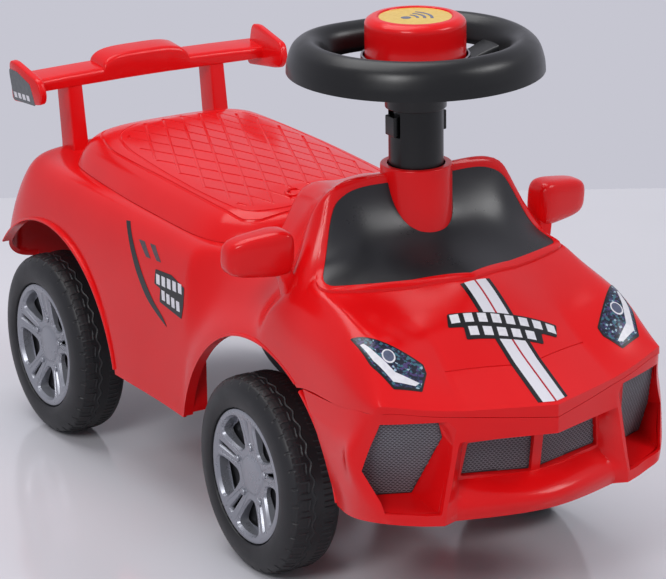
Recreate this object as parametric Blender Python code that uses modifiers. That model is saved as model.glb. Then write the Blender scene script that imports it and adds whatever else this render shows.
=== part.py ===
"""Kids push car: a ride-on toy with a steered front axle, a lidded seat and a horn button.

Frame: metres, +Z up, the nose points along -Y, the origin is on the ground under the middle
of the bounding box. Sizes below are in millimetres and become metres through MM.
"""

import math

import bmesh
import bpy
import numpy as np
from mathutils import Matrix, Vector

MM = 0.001
GAP = 0.3

# Driving dimensions, millimetres.
WHEEL_R = 72.0
WHEEL_W = 42.8
WHEEL_OUT = 130.6
FRONT_AXLE_Y = -116.4
REAR_AXLE_Y = 217.9
AXLE_Z = 72.0
AXLE_R = 3.0
AXLE_END = 120.4
ARCH_R = 115.0
ARCH_Z = 56.0
COLUMN_Y = -141.6
COLUMN_R = 19.35
COLUMN_BORE = 16.6
SLEEVE_R = 25.4
SLEEVE_BORE = 20.6
SLEEVE_TOP = 290.4
SLEEVE_FOOT = 96.0
SKIN = 2.5
HORN_R = 35.4
HORN_TOP = 395.9
RIM_TOP_Z = 382.0
DECK_Z = 210.0

# Collections and materials.
for old in list(bpy.data.objects):
    bpy.data.objects.remove(old, do_unlink=True)

parts = bpy.data.collections.new("kids_push_car")
cutters = bpy.data.collections.new("cutters")
bpy.context.scene.collection.children.link(parts)
bpy.context.scene.collection.children.link(cutters)


def linear(channel):
    """One sRGB channel, 0 to 255, as linear light."""
    c = channel / 255.0
    return c / 12.92 if c <= 0.04045 else ((c + 0.055) / 1.055) ** 2.4


def material(name, rgb, rough, metallic=0.0):
    """A Principled material of its own for one piece."""
    mat = bpy.data.materials.new(name)
    mat.use_nodes = True
    shader = mat.node_tree.nodes["Principled BSDF"]
    shader.inputs["Base Color"].default_value = (*[linear(c) for c in rgb], 1.0)
    shader.inputs["Roughness"].default_value = rough
    shader.inputs["Metallic"].default_value = metallic
    return mat


RED = ((205, 28, 34), 0.25)
BLACK = ((28, 28, 30), 0.45)
GREY = ((140, 142, 149), 0.35)
GLOSS_BLACK = ((18, 18, 20), 0.12)
MESH_GREY = ((88, 88, 92), 0.5)
STEEL = ((170, 172, 176), 0.3, 1.0)
TYRE = ((30, 30, 32), 0.55)


def link(name, mesh, finish=None, smooth=35.0):
    """Puts a mesh in the scene as a part with its own material, or as a hidden cutter."""
    mesh.name = name
    if smooth:
        mesh.shade_smooth()
        mesh.set_sharp_from_angle(angle=math.radians(smooth))
    obj = bpy.data.objects.new(name, mesh)
    if finish:
        obj.data.materials.append(material(name, *finish))
        parts.objects.link(obj)
    else:
        cutters.objects.link(obj)
        obj.hide_render = True
        obj.display_type = "WIRE"
    return obj


def modifier(obj, kind, **settings):
    """Adds a modifier and sets its values."""
    mod = obj.modifiers.new(kind.title(), kind)
    for key, value in settings.items():
        setattr(mod, key, value)
    return mod


def boolean(obj, other, operation="DIFFERENCE", solver="EXACT"):
    """Cuts, joins or intersects one object with another."""
    return modifier(obj, "BOOLEAN", operation=operation, object=other, solver=solver)


def settle(obj):
    """Replaces an object's mesh by its evaluated one, so it can be a clean boolean input."""
    bpy.context.view_layer.update()
    graph = bpy.context.evaluated_depsgraph_get()
    mesh = bpy.data.meshes.new_from_object(obj.evaluated_get(graph))
    obj.modifiers.clear()
    obj.data = mesh
    return obj


def combine(obj, joins, cuts, solver="MANIFOLD"):
    """Unites an object with its added shapes, then cuts it, welding specks where that closes."""
    for operation, others in (("UNION", joins), ("DIFFERENCE", cuts)):
        if not others:
            continue
        for other in others:
            boolean(obj, other, operation, solver)
        settle(obj)
        bm = bmesh.new()
        bm.from_mesh(obj.data)
        bmesh.ops.remove_doubles(bm, verts=bm.verts, dist=0.02 * MM)
        bmesh.ops.dissolve_degenerate(bm, edges=bm.edges, dist=0.01 * MM)
        if all(len(edge.link_faces) == 2 for edge in bm.edges):
            bm.to_mesh(obj.data)
        bm.free()
    return obj


def flatten(obj, degrees):
    """Joins faces that meet within so many degrees, and lays the result out in triangles."""
    bm = bmesh.new()
    bm.from_mesh(obj.data)
    bmesh.ops.dissolve_limit(
        bm, angle_limit=math.radians(degrees), verts=bm.verts, edges=bm.edges)
    bmesh.ops.triangulate(bm, faces=bm.faces)
    bm.to_mesh(obj.data)
    bm.free()


def from_bmesh(bm):
    """A mesh from a bmesh, with its faces turned outward and millimetres made metres."""
    bmesh.ops.recalc_face_normals(bm, faces=bm.faces)
    bmesh.ops.scale(bm, vec=(MM, MM, MM), verts=bm.verts)
    mesh = bpy.data.meshes.new("mesh")
    bm.to_mesh(mesh)
    bm.free()
    return mesh


# Shape helpers.
def box(name, low, high, finish=None):
    """A box between two corners."""
    bm = bmesh.new()
    bmesh.ops.create_cube(bm, size=1.0)
    size = [h - l for l, h in zip(low, high)]
    bmesh.ops.scale(bm, vec=size, verts=bm.verts)
    bmesh.ops.translate(bm, vec=[(l + h) / 2 for l, h in zip(low, high)], verts=bm.verts)
    return link(name, from_bmesh(bm), finish)


def drum(name, r1, r2, z1, z2, at=(0.0, 0.0), finish=None, sides=32, axis="Z"):
    """A cylinder or cone between two heights along an axis; at gives the other two values."""
    bm = bmesh.new()
    bmesh.ops.create_cone(
        bm, cap_ends=True, segments=sides, radius1=r1, radius2=r2, depth=z2 - z1
    )
    bmesh.ops.translate(bm, vec=(0, 0, (z1 + z2) / 2), verts=bm.verts)
    if axis == "X":
        bmesh.ops.rotate(bm, matrix=Matrix.Rotation(math.pi / 2, 3, "Y"), verts=bm.verts)
        bmesh.ops.translate(bm, vec=(0, at[0], at[1]), verts=bm.verts)
    else:
        bmesh.ops.translate(bm, vec=(at[0], at[1], 0), verts=bm.verts)
    return link(name, from_bmesh(bm), finish)


def turned(name, profile, finish, steps=40):
    """A closed profile of (radius, height) turned about Z with a Screw modifier."""
    bm = bmesh.new()
    verts = [bm.verts.new((r, 0, z)) for r, z in profile]
    for a, b in zip(verts, verts[1:]):
        bm.edges.new((a, b))
    if profile[0][0] > 0:
        bm.edges.new((verts[-1], verts[0]))
    bmesh.ops.scale(bm, vec=(MM, MM, MM), verts=bm.verts)
    mesh = bpy.data.meshes.new(name)
    bm.to_mesh(mesh)
    bm.free()
    obj = link(name, mesh, finish, smooth=0)
    modifier(
        obj, "SCREW", steps=steps, render_steps=steps, angle=2 * math.pi,
        use_merge_vertices=True, merge_threshold=0.00001, use_smooth_shade=True,
    )
    settle(obj)
    bm = bmesh.new()
    bm.from_mesh(obj.data)
    bmesh.ops.recalc_face_normals(bm, faces=bm.faces)
    bm.to_mesh(obj.data)
    bm.free()
    obj.data.set_sharp_from_angle(angle=math.radians(35))
    return obj


def plate(name, outline, thickness, frame, finish=None, bevel=0.0):
    """A flat outline extruded both ways from the plane that frame (origin, u, v) gives."""
    origin, u, v = (Vector(a) for a in frame)
    u.normalize()
    v.normalize()
    normal = u.cross(v)
    bm = bmesh.new()
    rings = []
    for side in (-0.5, 0.5):
        rings.append([
            bm.verts.new(origin + u * a + v * b + normal * (side * thickness)) for a, b in outline
        ])
    bm.faces.new(rings[0])
    bm.faces.new(rings[1])
    count = len(outline)
    for k in range(count):
        m = (k + 1) % count
        bm.faces.new((rings[0][k], rings[0][m], rings[1][m], rings[1][k]))
    obj = link(name, from_bmesh(bm), finish)
    if bevel:
        modifier(obj, "BEVEL", width=bevel * MM, segments=2, limit_method="ANGLE")
    return obj


def loft(name, rings, finish=None, caps=True, closed=True, smooth=35.0):
    """Faces between rings of equally many points, with flat caps."""
    bm = bmesh.new()
    verts = [[bm.verts.new(p) for p in ring] for ring in rings]
    count = len(rings[0])
    for low, high in zip(verts, verts[1:]):
        for k in range(count if closed else count - 1):
            m = (k + 1) % count
            bm.faces.new((low[k], low[m], high[m], high[k]))
    if caps:
        bm.faces.new(verts[0])
        bm.faces.new(verts[-1])
    return link(name, from_bmesh(bm), finish, smooth)


def mirror_copy(obj, name, finish):
    """The right-hand twin of a left-hand piece, as its own mesh."""
    mesh = obj.data.copy()
    mesh.transform(Matrix.Scale(-1, 4, (1, 0, 0)))
    mesh.flip_normals()
    mesh.materials.clear()
    return link(name, mesh, finish, smooth=0)


def hold(piece, empty):
    """Parents a piece to an unrotated empty on its joint's axis and leaves it where it is."""
    piece.parent = empty
    piece.matrix_parent_inverse = Matrix.Translation(-empty.location)
    return piece


def axis_empty(name, place):
    """An empty on a joint's axis, placed in millimetres."""
    empty = bpy.data.objects.new(name, None)
    parts.objects.link(empty)
    empty.location = Vector(place) * MM
    return empty


steer = axis_empty("axis_steering", (0, COLUMN_Y, 0))


# Cage surfaces: a subdivision surface that passes through stated points.
def spline_solve(points, sharp, mirrored):
    """Control points of a cubic B-spline that passes through the points, broken at sharp ones.

    With mirrored set, the last point lies on the plane x = 0 and the curve goes on beyond it.
    """
    count = len(points)
    weights = np.zeros((count, count))
    for k in range(count):
        if sharp[k] or k == 0 or (k == count - 1 and not mirrored):
            weights[k, k] = 1.0
        elif k == count - 1:
            weights[k, k] = 4 / 6
            weights[k, k - 1] = 2 / 6
        else:
            weights[k, k - 1 : k + 2] = (1 / 6, 4 / 6, 1 / 6)
    solved = np.linalg.solve(weights, points)
    if mirrored:
        flat = weights.copy()
        flat[-1] = 0.0
        flat[-1, -1] = 1.0
        solved[:, 0] = np.linalg.solve(flat, points[:, 0])
    return solved


def cage(name, rows, row_folds, col_folds, finish, levels=1, skin=SKIN, lift=0.0, mirrored=True):
    """A panel through a grid of points: rows run from the side to the centreline.

    row_folds and col_folds are (index, first, last) runs of crisp edges along a row or a column.
    lift moves the outer face off the points before the skin is given its thickness inward.
    """
    grid = np.array(rows, float)
    n_rows, n_cols = grid.shape[:2]
    sharp_row = np.zeros((n_rows, n_cols), bool)
    sharp_col = np.zeros((n_rows, n_cols), bool)
    for index, first, last in row_folds:
        sharp_row[index, first : last + 1] = True
    for index, first, last in col_folds:
        sharp_col[first : last + 1, index] = True
    for i in range(n_rows):
        grid[i] = spline_solve(grid[i], sharp_col[i], mirrored)
    for j in range(n_cols):
        grid[:, j] = spline_solve(grid[:, j], sharp_row[:, j], False)
    bm = bmesh.new()
    fold = bm.edges.layers.float.new("crease_edge")
    verts = [[bm.verts.new(p) for p in row] for row in grid]
    for i in range(n_rows - 1):
        for j in range(n_cols - 1):
            bm.faces.new((verts[i][j], verts[i][j + 1], verts[i + 1][j + 1], verts[i + 1][j]))
    for index, first, last in row_folds:
        for j in range(first, last):
            bm.edges.get((verts[index][j], verts[index][j + 1]))[fold] = 1.0
    for index, first, last in col_folds:
        for i in range(first, last):
            bm.edges.get((verts[i][index], verts[i + 1][index]))[fold] = 1.0
    bmesh.ops.scale(bm, vec=(MM, MM, MM), verts=bm.verts)
    bm.normal_update()
    middle = sum((f.normal * f.calc_area() for f in bm.faces), Vector())
    outward = sum((f.calc_center_median() for f in bm.faces), Vector()) / len(bm.faces)
    if middle.dot(outward - Vector((0, outward.y, 0.1))) < 0:
        bmesh.ops.reverse_faces(bm, faces=bm.faces)
    mesh = bpy.data.meshes.new(name)
    bm.to_mesh(mesh)
    bm.free()
    obj = link(name, mesh, finish)
    if mirrored:
        modifier(obj, "MIRROR", use_clip=True, merge_threshold=0.0001)
    modifier(
        obj, "SUBSURF", levels=levels, render_levels=levels,
        boundary_smooth="PRESERVE_CORNERS",
    )
    if lift:
        modifier(obj, "DISPLACE", strength=lift * MM, mid_level=0.0, direction="NORMAL")
    modifier(obj, "SOLIDIFY", thickness=skin * MM, offset=-1.0, use_even_offset=True)
    return obj


# Body shell.
# Each row is one section from the hem of the side (first) to the centreline (last).
BODY_ROWS = [
    # tail, lower edge
    [(114, 304, 80), (110, 312, 80), (102, 317, 80), (88, 319.5, 80), (66, 321, 80),
     (44, 322, 80), (22, 322, 80), (0, 322, 80)],
    # tail, middle
    [(119, 289, 80), (117, 302, 118), (108, 311, 136), (91, 315, 140), (66, 316.5, 141),
     (44, 317, 141), (22, 317, 141), (0, 317, 141)],
    # tail, upper
    [(120.5, 272, 80), (119.5, 288, 124), (113, 298, 160), (97, 303, 177), (70, 304, 180),
     (46, 304, 180), (23, 304, 180), (0, 304, 180)],
    # deck, rear edge
    [(121, 252, 80), (121, 268, 126), (115.5, 278, 174), (101, 283, 203), (75, 286, 210),
     (48, 287, 212), (24, 287, 212), (0, 287, 212)],
    # deck behind the seat
    [(121, 232, 80), (121, 242, 128), (116.5, 252, 180), (103, 258, 207), (80, 262, 210.6),
     (52, 264, 211), (26, 264, 211), (0, 264, 211)],
    # rear axle
    [(121, 195, 80), (120.5, 195, 128), (116.5, 195, 181), (103.5, 195, 208.2), (81, 195, 210),
     (52, 195, 210), (26, 195, 210), (0, 195, 210)],
    # seat, middle
    [(120.5, 110, 80), (119.5, 110, 124), (115, 110, 180), (103, 110, 208.2), (81, 110, 210),
     (52, 110, 210), (26, 110, 210), (0, 110, 210)],
    [(119, 42, 80), (117, 42, 124), (113.5, 42, 180), (102.5, 42, 208.2), (81, 42, 210),
     (52, 42, 210), (26, 42, 210), (0, 42, 210)],
    # door corner
    [(118.6, -3.4, 79), (116, -4.6, 124), (112, -4.6, 183), (103, -6.5, 208.4), (82, -10, 210),
     (54, -12, 210), (27, -12, 210), (0, -12, 210)],
    # leg scoop and foot of the dash wall
    [(117.5, -20, 105), (116, -22, 142), (104, -26, 180), (94, -27, 208.4), (74, -38, 209.4),
     (49, -44.5, 209.6), (24, -47.5, 209.6), (0, -48, 209.6)],
    # leg scoop and top of the dash wall
    [(117.5, -52, 135), (115.5, -52, 160), (102, -53, 183), (88, -55, 208), (62, -54, 216),
     (44, -49, 250), (22, -51, 254), (0, -52, 255)],
    # narrowest place
    [(117.5, -95, 150), (116, -95, 171), (104, -96, 189), (90, -96, 210), (68, -93, 226),
     (50, -92, 261), (25, -93, 267), (0, -93, 268)],
    # mirror and back of the windshield frame
    [(117.5, -118, 150), (117, -118, 173), (111, -121, 194), (97, -125, 214), (84, -124, 240),
     (66, -132, 277), (30, -136, 282), (0, -136, 282)],
    # windshield, upper edge, and rear fold of the front fender
    [(117.5, -127, 150), (117.5, -129, 176), (115.5, -139, 202), (106, -145, 218), (83, -141, 258),
     (66, -144, 275), (30, -144, 279), (0, -144, 279)],
    # windshield, column
    [(118, -150, 148), (118, -153, 174), (115.5, -159, 200), (105, -163, 217), (90, -158, 232),
     (62, -160, 248), (30, -163, 247), (0, -164, 246)],
    # windshield, lower edge
    [(118, -184, 157.4), (118, -184, 174), (115, -184, 198), (104, -184, 216), (96, -181, 222),
     (64, -191, 224), (31, -204, 225.5), (0, -213, 226)],
    # hood
    [(119, -225, 160), (118.5, -225, 175), (115, -228, 193), (101, -231, 208), (79, -235, 207),
     (54, -238, 202), (27, -246, 205), (0, -248, 206)],
    # headlamps and hood step
    [(118.5, -252, 163.5), (118, -252, 173), (114.5, -255, 183), (102, -260, 192),
     (78, -266, 189), (55.6, -269, 182.6), (28, -277, 184), (0, -283.5, 184.5)],
    # lip
    [(116.3, -273, 167), (115.6, -275, 170), (113.4, -278, 172.3), (105, -282, 171.5),
     (84, -290.5, 168), (59.7, -299.6, 165.6), (30, -311, 165.6), (0, -322, 165.5)],
    # seam to the bumper
    [(116.4, -273, 165.6), (115.7, -275, 166.2), (113.5, -278, 167.2), (105, -282, 167),
     (84, -290.5, 163.8), (59.7, -299.6, 161.4), (30, -311, 158.9), (0, -322, 156.8)],
]
CORNER_ROW, WALL_FOOT, STEP_ROW, LIP_ROW = 8, 9, 17, 18
SHOULDER, CREASE, CENTRE = 3, 5, 7


def ring_sector(name, centre, r_in, r_out, x1, x2, a1, a2, finish=None):
    """A flat-sided band round a wheel arch, from angle a1 to a2 in degrees from +Y upward."""
    steps = max(4, round(abs(a2 - a1) / 9))
    rings = []
    for k in range(steps + 1):
        a = math.radians(a1 + (a2 - a1) * k / steps)
        c, s = math.cos(a), math.sin(a)
        rings.append([
            (x, centre[0] + r * c, centre[1] + r * s)
            for x, r in ((x1, r_in), (x2, r_in), (x2, r_out), (x1, r_out))
        ])
    return loft(name, rings, finish, smooth=0)


def body_surface(name, finish, skin, lift):
    """The body's outer surface as a panel of its own thickness and lift."""
    return cage(
        name, BODY_ROWS,
        row_folds=[(CORNER_ROW, 0, SHOULDER), (WALL_FOOT, CREASE, CENTRE),
                   (STEP_ROW, CREASE, CENTRE), (LIP_ROW, 0, CENTRE)],
        col_folds=[(CREASE, STEP_ROW - 1, LIP_ROW + 1), (CENTRE, STEP_ROW, LIP_ROW + 1)],
        finish=finish, skin=skin, lift=lift,
    )


def smooth_loop(points, per_span=4, closed=True):
    """A Catmull-Rom curve through 2D points."""
    count = len(points)
    out = []
    for k in range(count if closed else count - 1):
        if closed:
            quad = [points[(k + n) % count] for n in (-1, 0, 1, 2)]
        else:
            quad = [points[min(max(k + n, 0), count - 1)] for n in (-1, 0, 1, 2)]
        a, b, c, d = (np.array(q, float) for q in quad)
        for n in range(per_span):
            t = n / per_span
            out.append(tuple(
                0.5 * (2 * b + (c - a) * t + (2 * a - 5 * b + 4 * c - d) * t * t
                       + (3 * b - a - 3 * c + d) * t ** 3)
            ))
    if not closed:
        out.append(tuple(points[-1]))
    return out


def both_sides(half):
    """A closed outline from its half at x >= 0, listed from the centreline round to it again."""
    left = [(-x, y) for x, y in reversed(half) if x > 1e-6]
    return list(half) + left


def inset(outline, distance):
    """An outline moved inward by a distance along its corner normals."""
    pts = np.array(outline, float)
    ahead = np.roll(pts, -1, 0) - pts
    back = pts - np.roll(pts, 1, 0)
    ahead /= np.linalg.norm(ahead, axis=1)[:, None]
    back /= np.linalg.norm(back, axis=1)[:, None]
    tangent = ahead + back
    tangent /= np.linalg.norm(tangent, axis=1)[:, None]
    area = np.sum(pts[:, 0] * np.roll(pts[:, 1], -1) - np.roll(pts[:, 0], -1) * pts[:, 1])
    normal = np.stack([-tangent[:, 1], tangent[:, 0]], 1) * (1 if area > 0 else -1)
    cosine = np.clip(np.sum(tangent * ahead, axis=1), 0.5, 1)[:, None]
    return [tuple(q) for q in pts + normal * distance / cosine]


body = body_surface("body_shell", RED, SKIN, 0.0)
body_joins = []
body_cuts = []
for side in (-1, 1):
    label = "left" if side > 0 else "right"
    # rolled lips of the arches and the stiffening web behind the front wheel
    lip = ring_sector(
        f"lip_front_{label}", (FRONT_AXLE_Y, ARCH_Z), ARCH_R - 6, ARCH_R + 2.0,
        side * 110.7, side * 118.6, 12, 119,
    )
    body_joins.append(lip)
    lip = ring_sector(
        f"lip_rear_{label}", (REAR_AXLE_Y, ARCH_Z), ARCH_R - 6, ARCH_R + 2.0,
        side * 113.3, side * 121.9, 43, 166,
    )
    body_joins.append(lip)
    web = box(
        f"web_{label}", (min(side * 99, side * 116.2), -5.2, 82),
        (max(side * 99, side * 116.2), -2.8, 168),
    )
    body_joins.append(web)
    for place, axle_y in (("front", FRONT_AXLE_Y), ("rear", REAR_AXLE_Y)):
        arch = drum(
            f"cut_arch_{place}_{label}", ARCH_R, ARCH_R, 84 if side > 0 else -140,
            140 if side > 0 else -84, at=(axle_y, ARCH_Z), sides=64, axis="X",
        )
        body_cuts.append(arch)

# Column sleeve, moulded with the shell: its foot bears on the steering yoke's washer.
sleeve = drum("sleeve", SLEEVE_R, SLEEVE_R, SLEEVE_FOOT, SLEEVE_TOP, at=(0, COLUMN_Y), sides=36)
body_joins.append(sleeve)
bore = drum(
    "cut_sleeve", SLEEVE_BORE, SLEEVE_BORE, SLEEVE_FOOT - 5, SLEEVE_TOP + 5,
    at=(0, COLUMN_Y), sides=36,
)

# Windshield: a bead round it stands up from the shell, and the panel lies inside the bead.
PANE = both_sides(
    [(0, -213.0)] + smooth_loop(
        [(40, -201.5), (84, -183.5), (93, -176.5), (91.5, -167), (82, -156), (72, -147.5),
         (60, -145.2), (40, -144.8)], 2, closed=False,
    ) + [(0, -144.8)]
)


def column_of(name, outline, z1, z2, finish=None):
    """An upright prism on a plan outline."""
    return loft(name, [[(x, y, z) for x, y in outline] for z in (z1, z2)], finish)


bead = body_surface("windshield_bead", None, 3.4, 2.0)
boolean(bead, column_of("bead_outer", inset(PANE, -4.6), 190, 310), "INTERSECT")
boolean(bead, column_of("bead_inner", inset(PANE, GAP), 185, 315), "DIFFERENCE")
settle(bead)
body_joins.append(bead)
body_cuts.append(bore)
pane = body_surface("windshield_panel", GLOSS_BLACK, 0.9, 1.6)
boolean(pane, column_of("pane_edge", inset(PANE, 0.7), 190, 310), "INTERSECT")
boolean(pane, drum(
    "cut_pane", SLEEVE_R + GAP, SLEEVE_R + GAP, 190, 310, at=(0, COLUMN_Y), sides=36))
flatten(settle(pane), 0.5)

# Seat lid: a hollow dome on a rounded outline, hinged behind.
LID_HALF = [
    (0, 264.0), (30, 263.2), (54, 259.5), (71, 251), (81.5, 238), (87.5, 219), (92, 171),
    (94.5, 121), (94.8, 61), (94, 21), (89, -3), (76, -20), (60, -31), (42, -37.5), (20, -40),
    (0, -40.5),
]
LID = both_sides(LID_HALF)
LID_FOOT_Z = DECK_Z + 0.6
DOME = [(0, 0), (1.8, 4.2), (5.5, 11), (12, 18.6), (22, 24.2)]
LID_SPINE = (30.0, 205.0)


def lid_lift(y):
    """The dome stands taller at the rear."""
    return 0.80 + 0.20 * min(max((y + 20) / 240, 0), 1)


def lid_rings(extra, drop):
    """Rings of the dome from its foot inward, each point at its height."""
    rings = []
    for step, height in DOME:
        ring = inset(LID, step + extra)
        rings.append([
            (x, y, LID_FOOT_Z + max(height - drop, 0 if step else 0) * lid_lift(y))
            for x, y in ring
        ])
    edge = inset(LID, DOME[-1][0] + extra)
    for t, height in ((0.35, 28.0), (0.7, 31.0)):
        ring = []
        for x, y in edge:
            middle = min(max(y, LID_SPINE[0]), LID_SPINE[1])
            ring.append((
                x * (1 - t), y + (middle - y) * t,
                LID_FOOT_Z + (height - drop) * lid_lift(y + (middle - y) * t),
            ))
        rings.append(ring)
    return rings


outer_rings = lid_rings(0, 0)
inner_rings = [[(x, y, z - 2.4) for x, y, z in ring] for ring in lid_rings(2.4, 0)[1:]]
foot = [[(x, y, LID_FOOT_Z) for x, y in inset(LID, 2.6)]]
lid = loft("seat_lid", list(reversed(outer_rings)) + foot + inner_rings, RED)
LID_AXIS = (268.5, 214.0)
hold(lid, axis_empty("axis_seat_lid", (0, *LID_AXIS)))
PIN_R = 1.5
for side in (-1, 1):
    label = "left" if side > 0 else "right"
    x1, x2 = sorted((side * 34, side * 44))
    barrel = drum(
        f"lid_barrel_{label}", 3.2, 3.2, x1, x2, at=LID_AXIS, sides=16, axis="X",
    )
    arm = box(f"lid_arm_{label}", (x1, 260.6, 211.4), (x2, 268.0, 215.6))
    boolean(lid, arm, "UNION")
    boolean(lid, barrel, "UNION")
    hole = drum(
        f"cut_lid_pin_{label}", PIN_R + 0.25, PIN_R + 0.25, x1 - 1, x2 + 1,
        at=LID_AXIS, sides=16, axis="X",
    )
    boolean(lid, hole)
    # ears of the shell that hold the pin, and the slot that lets the barrel turn
    slot = box(f"cut_lid_slot_{label}", (x1 - 0.4, 263.2, 200), (x2 + 0.4, 273.6, 225))
    body_cuts.append(slot)
    for e1, e2 in ((30.6, 33.9), (44.1, 47.4)):
        ear = box(
            f"lid_ear_{label}_{e1}", (min(side * e1, side * e2), 265.4, 208.5),
            (max(side * e1, side * e2), 272, 217.4),
        )
        body_joins.append(ear)
    pin_hole = drum(
        f"cut_ear_pin_{label}", PIN_R + 0.3, PIN_R + 0.3, min(side * 29, side * 48),
        max(side * 29, side * 48), at=LID_AXIS, sides=16, axis="X",
    )
    body_cuts.append(pin_hole)
    drum(
        f"lid_pin_{label}", PIN_R, PIN_R, min(side * 30.4, side * 47.6),
        max(side * 30.4, side * 47.6), at=LID_AXIS, sides=16, axis="X", finish=STEEL,
    )

# Storage tub under the lid: a flange on the deck, walls that draw in to a flat floor.
TUB_MOUTH = inset(LID, 15)
TUB_FLOOR_Z = 117.0
TUB_WALL = 2.2


def tub_ring(t, wall):
    """The tub's outline from its mouth (t = 0) to its floor (t = 1), drawn in by a wall."""
    ring = []
    low, high = -25.5, 249.0
    for x, y in inset(TUB_MOUTH, wall):
        along = (y - low) / (high - low)
        floor_y = 35 + wall + along * (238 - wall - 35)
        ring.append((x * (1 - 0.035 * t), y + (floor_y - y) * t))
    return ring


def tub_level(t, z, wall):
    return [(x, y, z) for x, y in tub_ring(t, wall)]


flange = [[(x, y, z) for x, y in inset(LID, 7)] for z in (DECK_Z + 0.4, DECK_Z + 2.4)]
tub = loft(
    "storage_tub",
    [tub_level(1, TUB_FLOOR_Z, 0.6), tub_level(0.97, TUB_FLOOR_Z + 3, 0.2),
     tub_level(0, DECK_Z + 0.4, 0.3)]
    + flange
    + [tub_level(0, DECK_Z + 2.4, TUB_WALL + 0.3), tub_level(0.97, TUB_FLOOR_Z + 5, TUB_WALL),
       tub_level(1, TUB_FLOOR_Z + TUB_WALL, TUB_WALL + 1.5)],
    BLACK,
)
combine(tub, [box("tub_pad", (-60, 48, TUB_FLOOR_Z - 1.2), (60, 196, TUB_FLOOR_Z + 1))], [])
mouth = loft(
    "cut_deck", [[(x, y, z) for x, y in inset(LID, 14.4)] for z in (195, 222)],
)
body_cuts.append(mouth)
pad = loft(
    "cut_seat_pad", [[(x, y, z) for x, y in inset(LID, -0.8)] for z in (DECK_Z + 0.1, 225)],
)
body_cuts.append(pad)
for k, (x, y) in enumerate(((-82.5, 30), (82.5, 30), (-79, 190), (79, 190))):
    hole = drum(f"cut_tub_screw_{k}", 1.9, 1.9, 200, 220, at=(x, y), sides=12)
    boolean(tub, hole)
    body_cuts.append(hole)
    turned(
        f"tub_screw_{k + 1}",
        [(0, 215.2), (2.4, 214.9), (3.6, 213.6), (3.6, 212.7), (1.6, 212.7), (1.6, 203.0),
         (0.5, 200.8), (0, 200.8)],
        STEEL, steps=8,
    ).location = (x * MM, y * MM, 0)

# Front bumper: brow, struts, recessed grille field and chin, in a panel under the seam.
BUMPER_ROWS = [
    # under the seam
    [(118.2, -184, 156.8), (119, -225, 159.5), (118.6, -252, 163.0), (116.2, -272.5, 165.1),
     (105, -282, 166.4), (84, -290.6, 163), (59.7, -299.7, 160.6), (52, -302.8, 159.9),
     (28, -311.9, 157.9), (0, -322, 156)],
    # brow
    [(118.5, -192, 145), (120, -225, 147), (122, -250, 147.5), (121, -267, 148),
     (104, -280.5, 148), (82, -290.8, 146), (63.5, -299.8, 144), (54, -302.5, 144),
     (28, -311.8, 144.6), (0, -322, 145.2)],
    # top of the grille field
    [(119, -200, 138), (121.5, -228, 136), (125, -250, 133), (125.2, -264.5, 131),
     (104, -281, 134), (84, -291, 136), (65.5, -299.3, 137), (55, -290, 140.5),
     (28, -296, 142), (0, -299.5, 143)],
    # foot of the grille field
    [(119, -214, 112), (121.5, -231, 113), (124, -252, 112), (120.4, -273.5, 110),
     (102, -284.5, 110), (86.5, -291.5, 110), (70.5, -298.8, 110), (57, -286.5, 111.5),
     (29, -291, 110), (0, -294.4, 109.5)],
    # chin
    [(118, -219, 98), (120.5, -236, 98), (122, -256, 98.5), (115.8, -279.5, 98),
     (100, -287.5, 96), (87, -292.6, 95.5), (73.5, -298.5, 97), (63, -296.5, 98),
     (31, -307.5, 99), (0, -312.5, 99)],
    # bottom hem
    [(116.5, -222, 86), (119, -239, 85.5), (119.5, -258, 87), (113.5, -280.5, 90),
     (99, -288.5, 88), (87, -293.2, 86.5), (74.8, -297.9, 85.8), (64, -294.5, 86),
     (32, -305, 86.5), (0, -310.5, 87)],
]
POD_EDGE, STRUT, FIELD_EDGE, MIDDLE = 3, 6, 7, 9
bumper = cage(
    "front_bumper", BUMPER_ROWS,
    row_folds=[(1, STRUT, MIDDLE), (2, FIELD_EDGE, MIDDLE), (3, FIELD_EDGE, MIDDLE)],
    col_folds=[(POD_EDGE, 1, 5), (STRUT, 0, 5), (FIELD_EDGE, 1, 5), (MIDDLE, 0, 1)],
    finish=RED,
)
bumper_joins = []
bumper_cuts = []
# Outlines of the mesh inserts in their own planes: u runs outward, v upward.
INTAKE_AT = (94.4, -271.1, 130.5)
INTAKE_U = (0.911, 0.413, 0.0)
INTAKE_V = (0.136, -0.300, 0.945)
INTAKE = [(14.3, 30.6), (-25.5, 30.0), (-29.0, 15.5), (-10.0, -32.3), (32.4, -33.2), (30.3, -8.5)]
GRILLE_AT = (28.5, -290.5, 126.0)
GRILLE_U = (0.986, 0.145, 0.03)
GRILLE_V = (0.0, -0.13, 0.99)
GRILLE = [(-25.5, 14.0), (23.5, 12.0), (27.0, -12.5), (-25.5, -15.5)]
# Corners of the intake pod's cut in front of the bumper, and of its wall inside the skin.
POD_CUT = [
    (115, -285, 159.3), (62, -305.5, 158.6), (66.6, -306.2, 139.5), (75.4, -307, 92.0),
    (110.8, -291.3, 97.0), (123.3, -281, 128.8),
]
POD_WALL = [
    (117, -269, 160.6), (61.8, -297.4, 159.4), (64.6, -296.4, 141), (75.2, -294.4, 88.6),
    (115.2, -277.8, 92.6), (123.6, -264.8, 126),
]
MESH_T = 1.4
POD_WALL_T = 2.6


def twin(vector, side):
    return (vector[0] * side, vector[1], vector[2])


def sided_plate(name, outline, thickness, at, u, v, side, depth, finish=None):
    """A plate in a plane on one side of the car, pushed back along the plane's normal."""
    normal = Vector(u).cross(Vector(v)).normalized()
    origin = Vector(at) - normal * depth
    origin = Vector(twin(origin, side))
    frame = (origin, twin(u, side), twin(v, side))
    return plate(name, outline, thickness, frame, finish)


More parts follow.
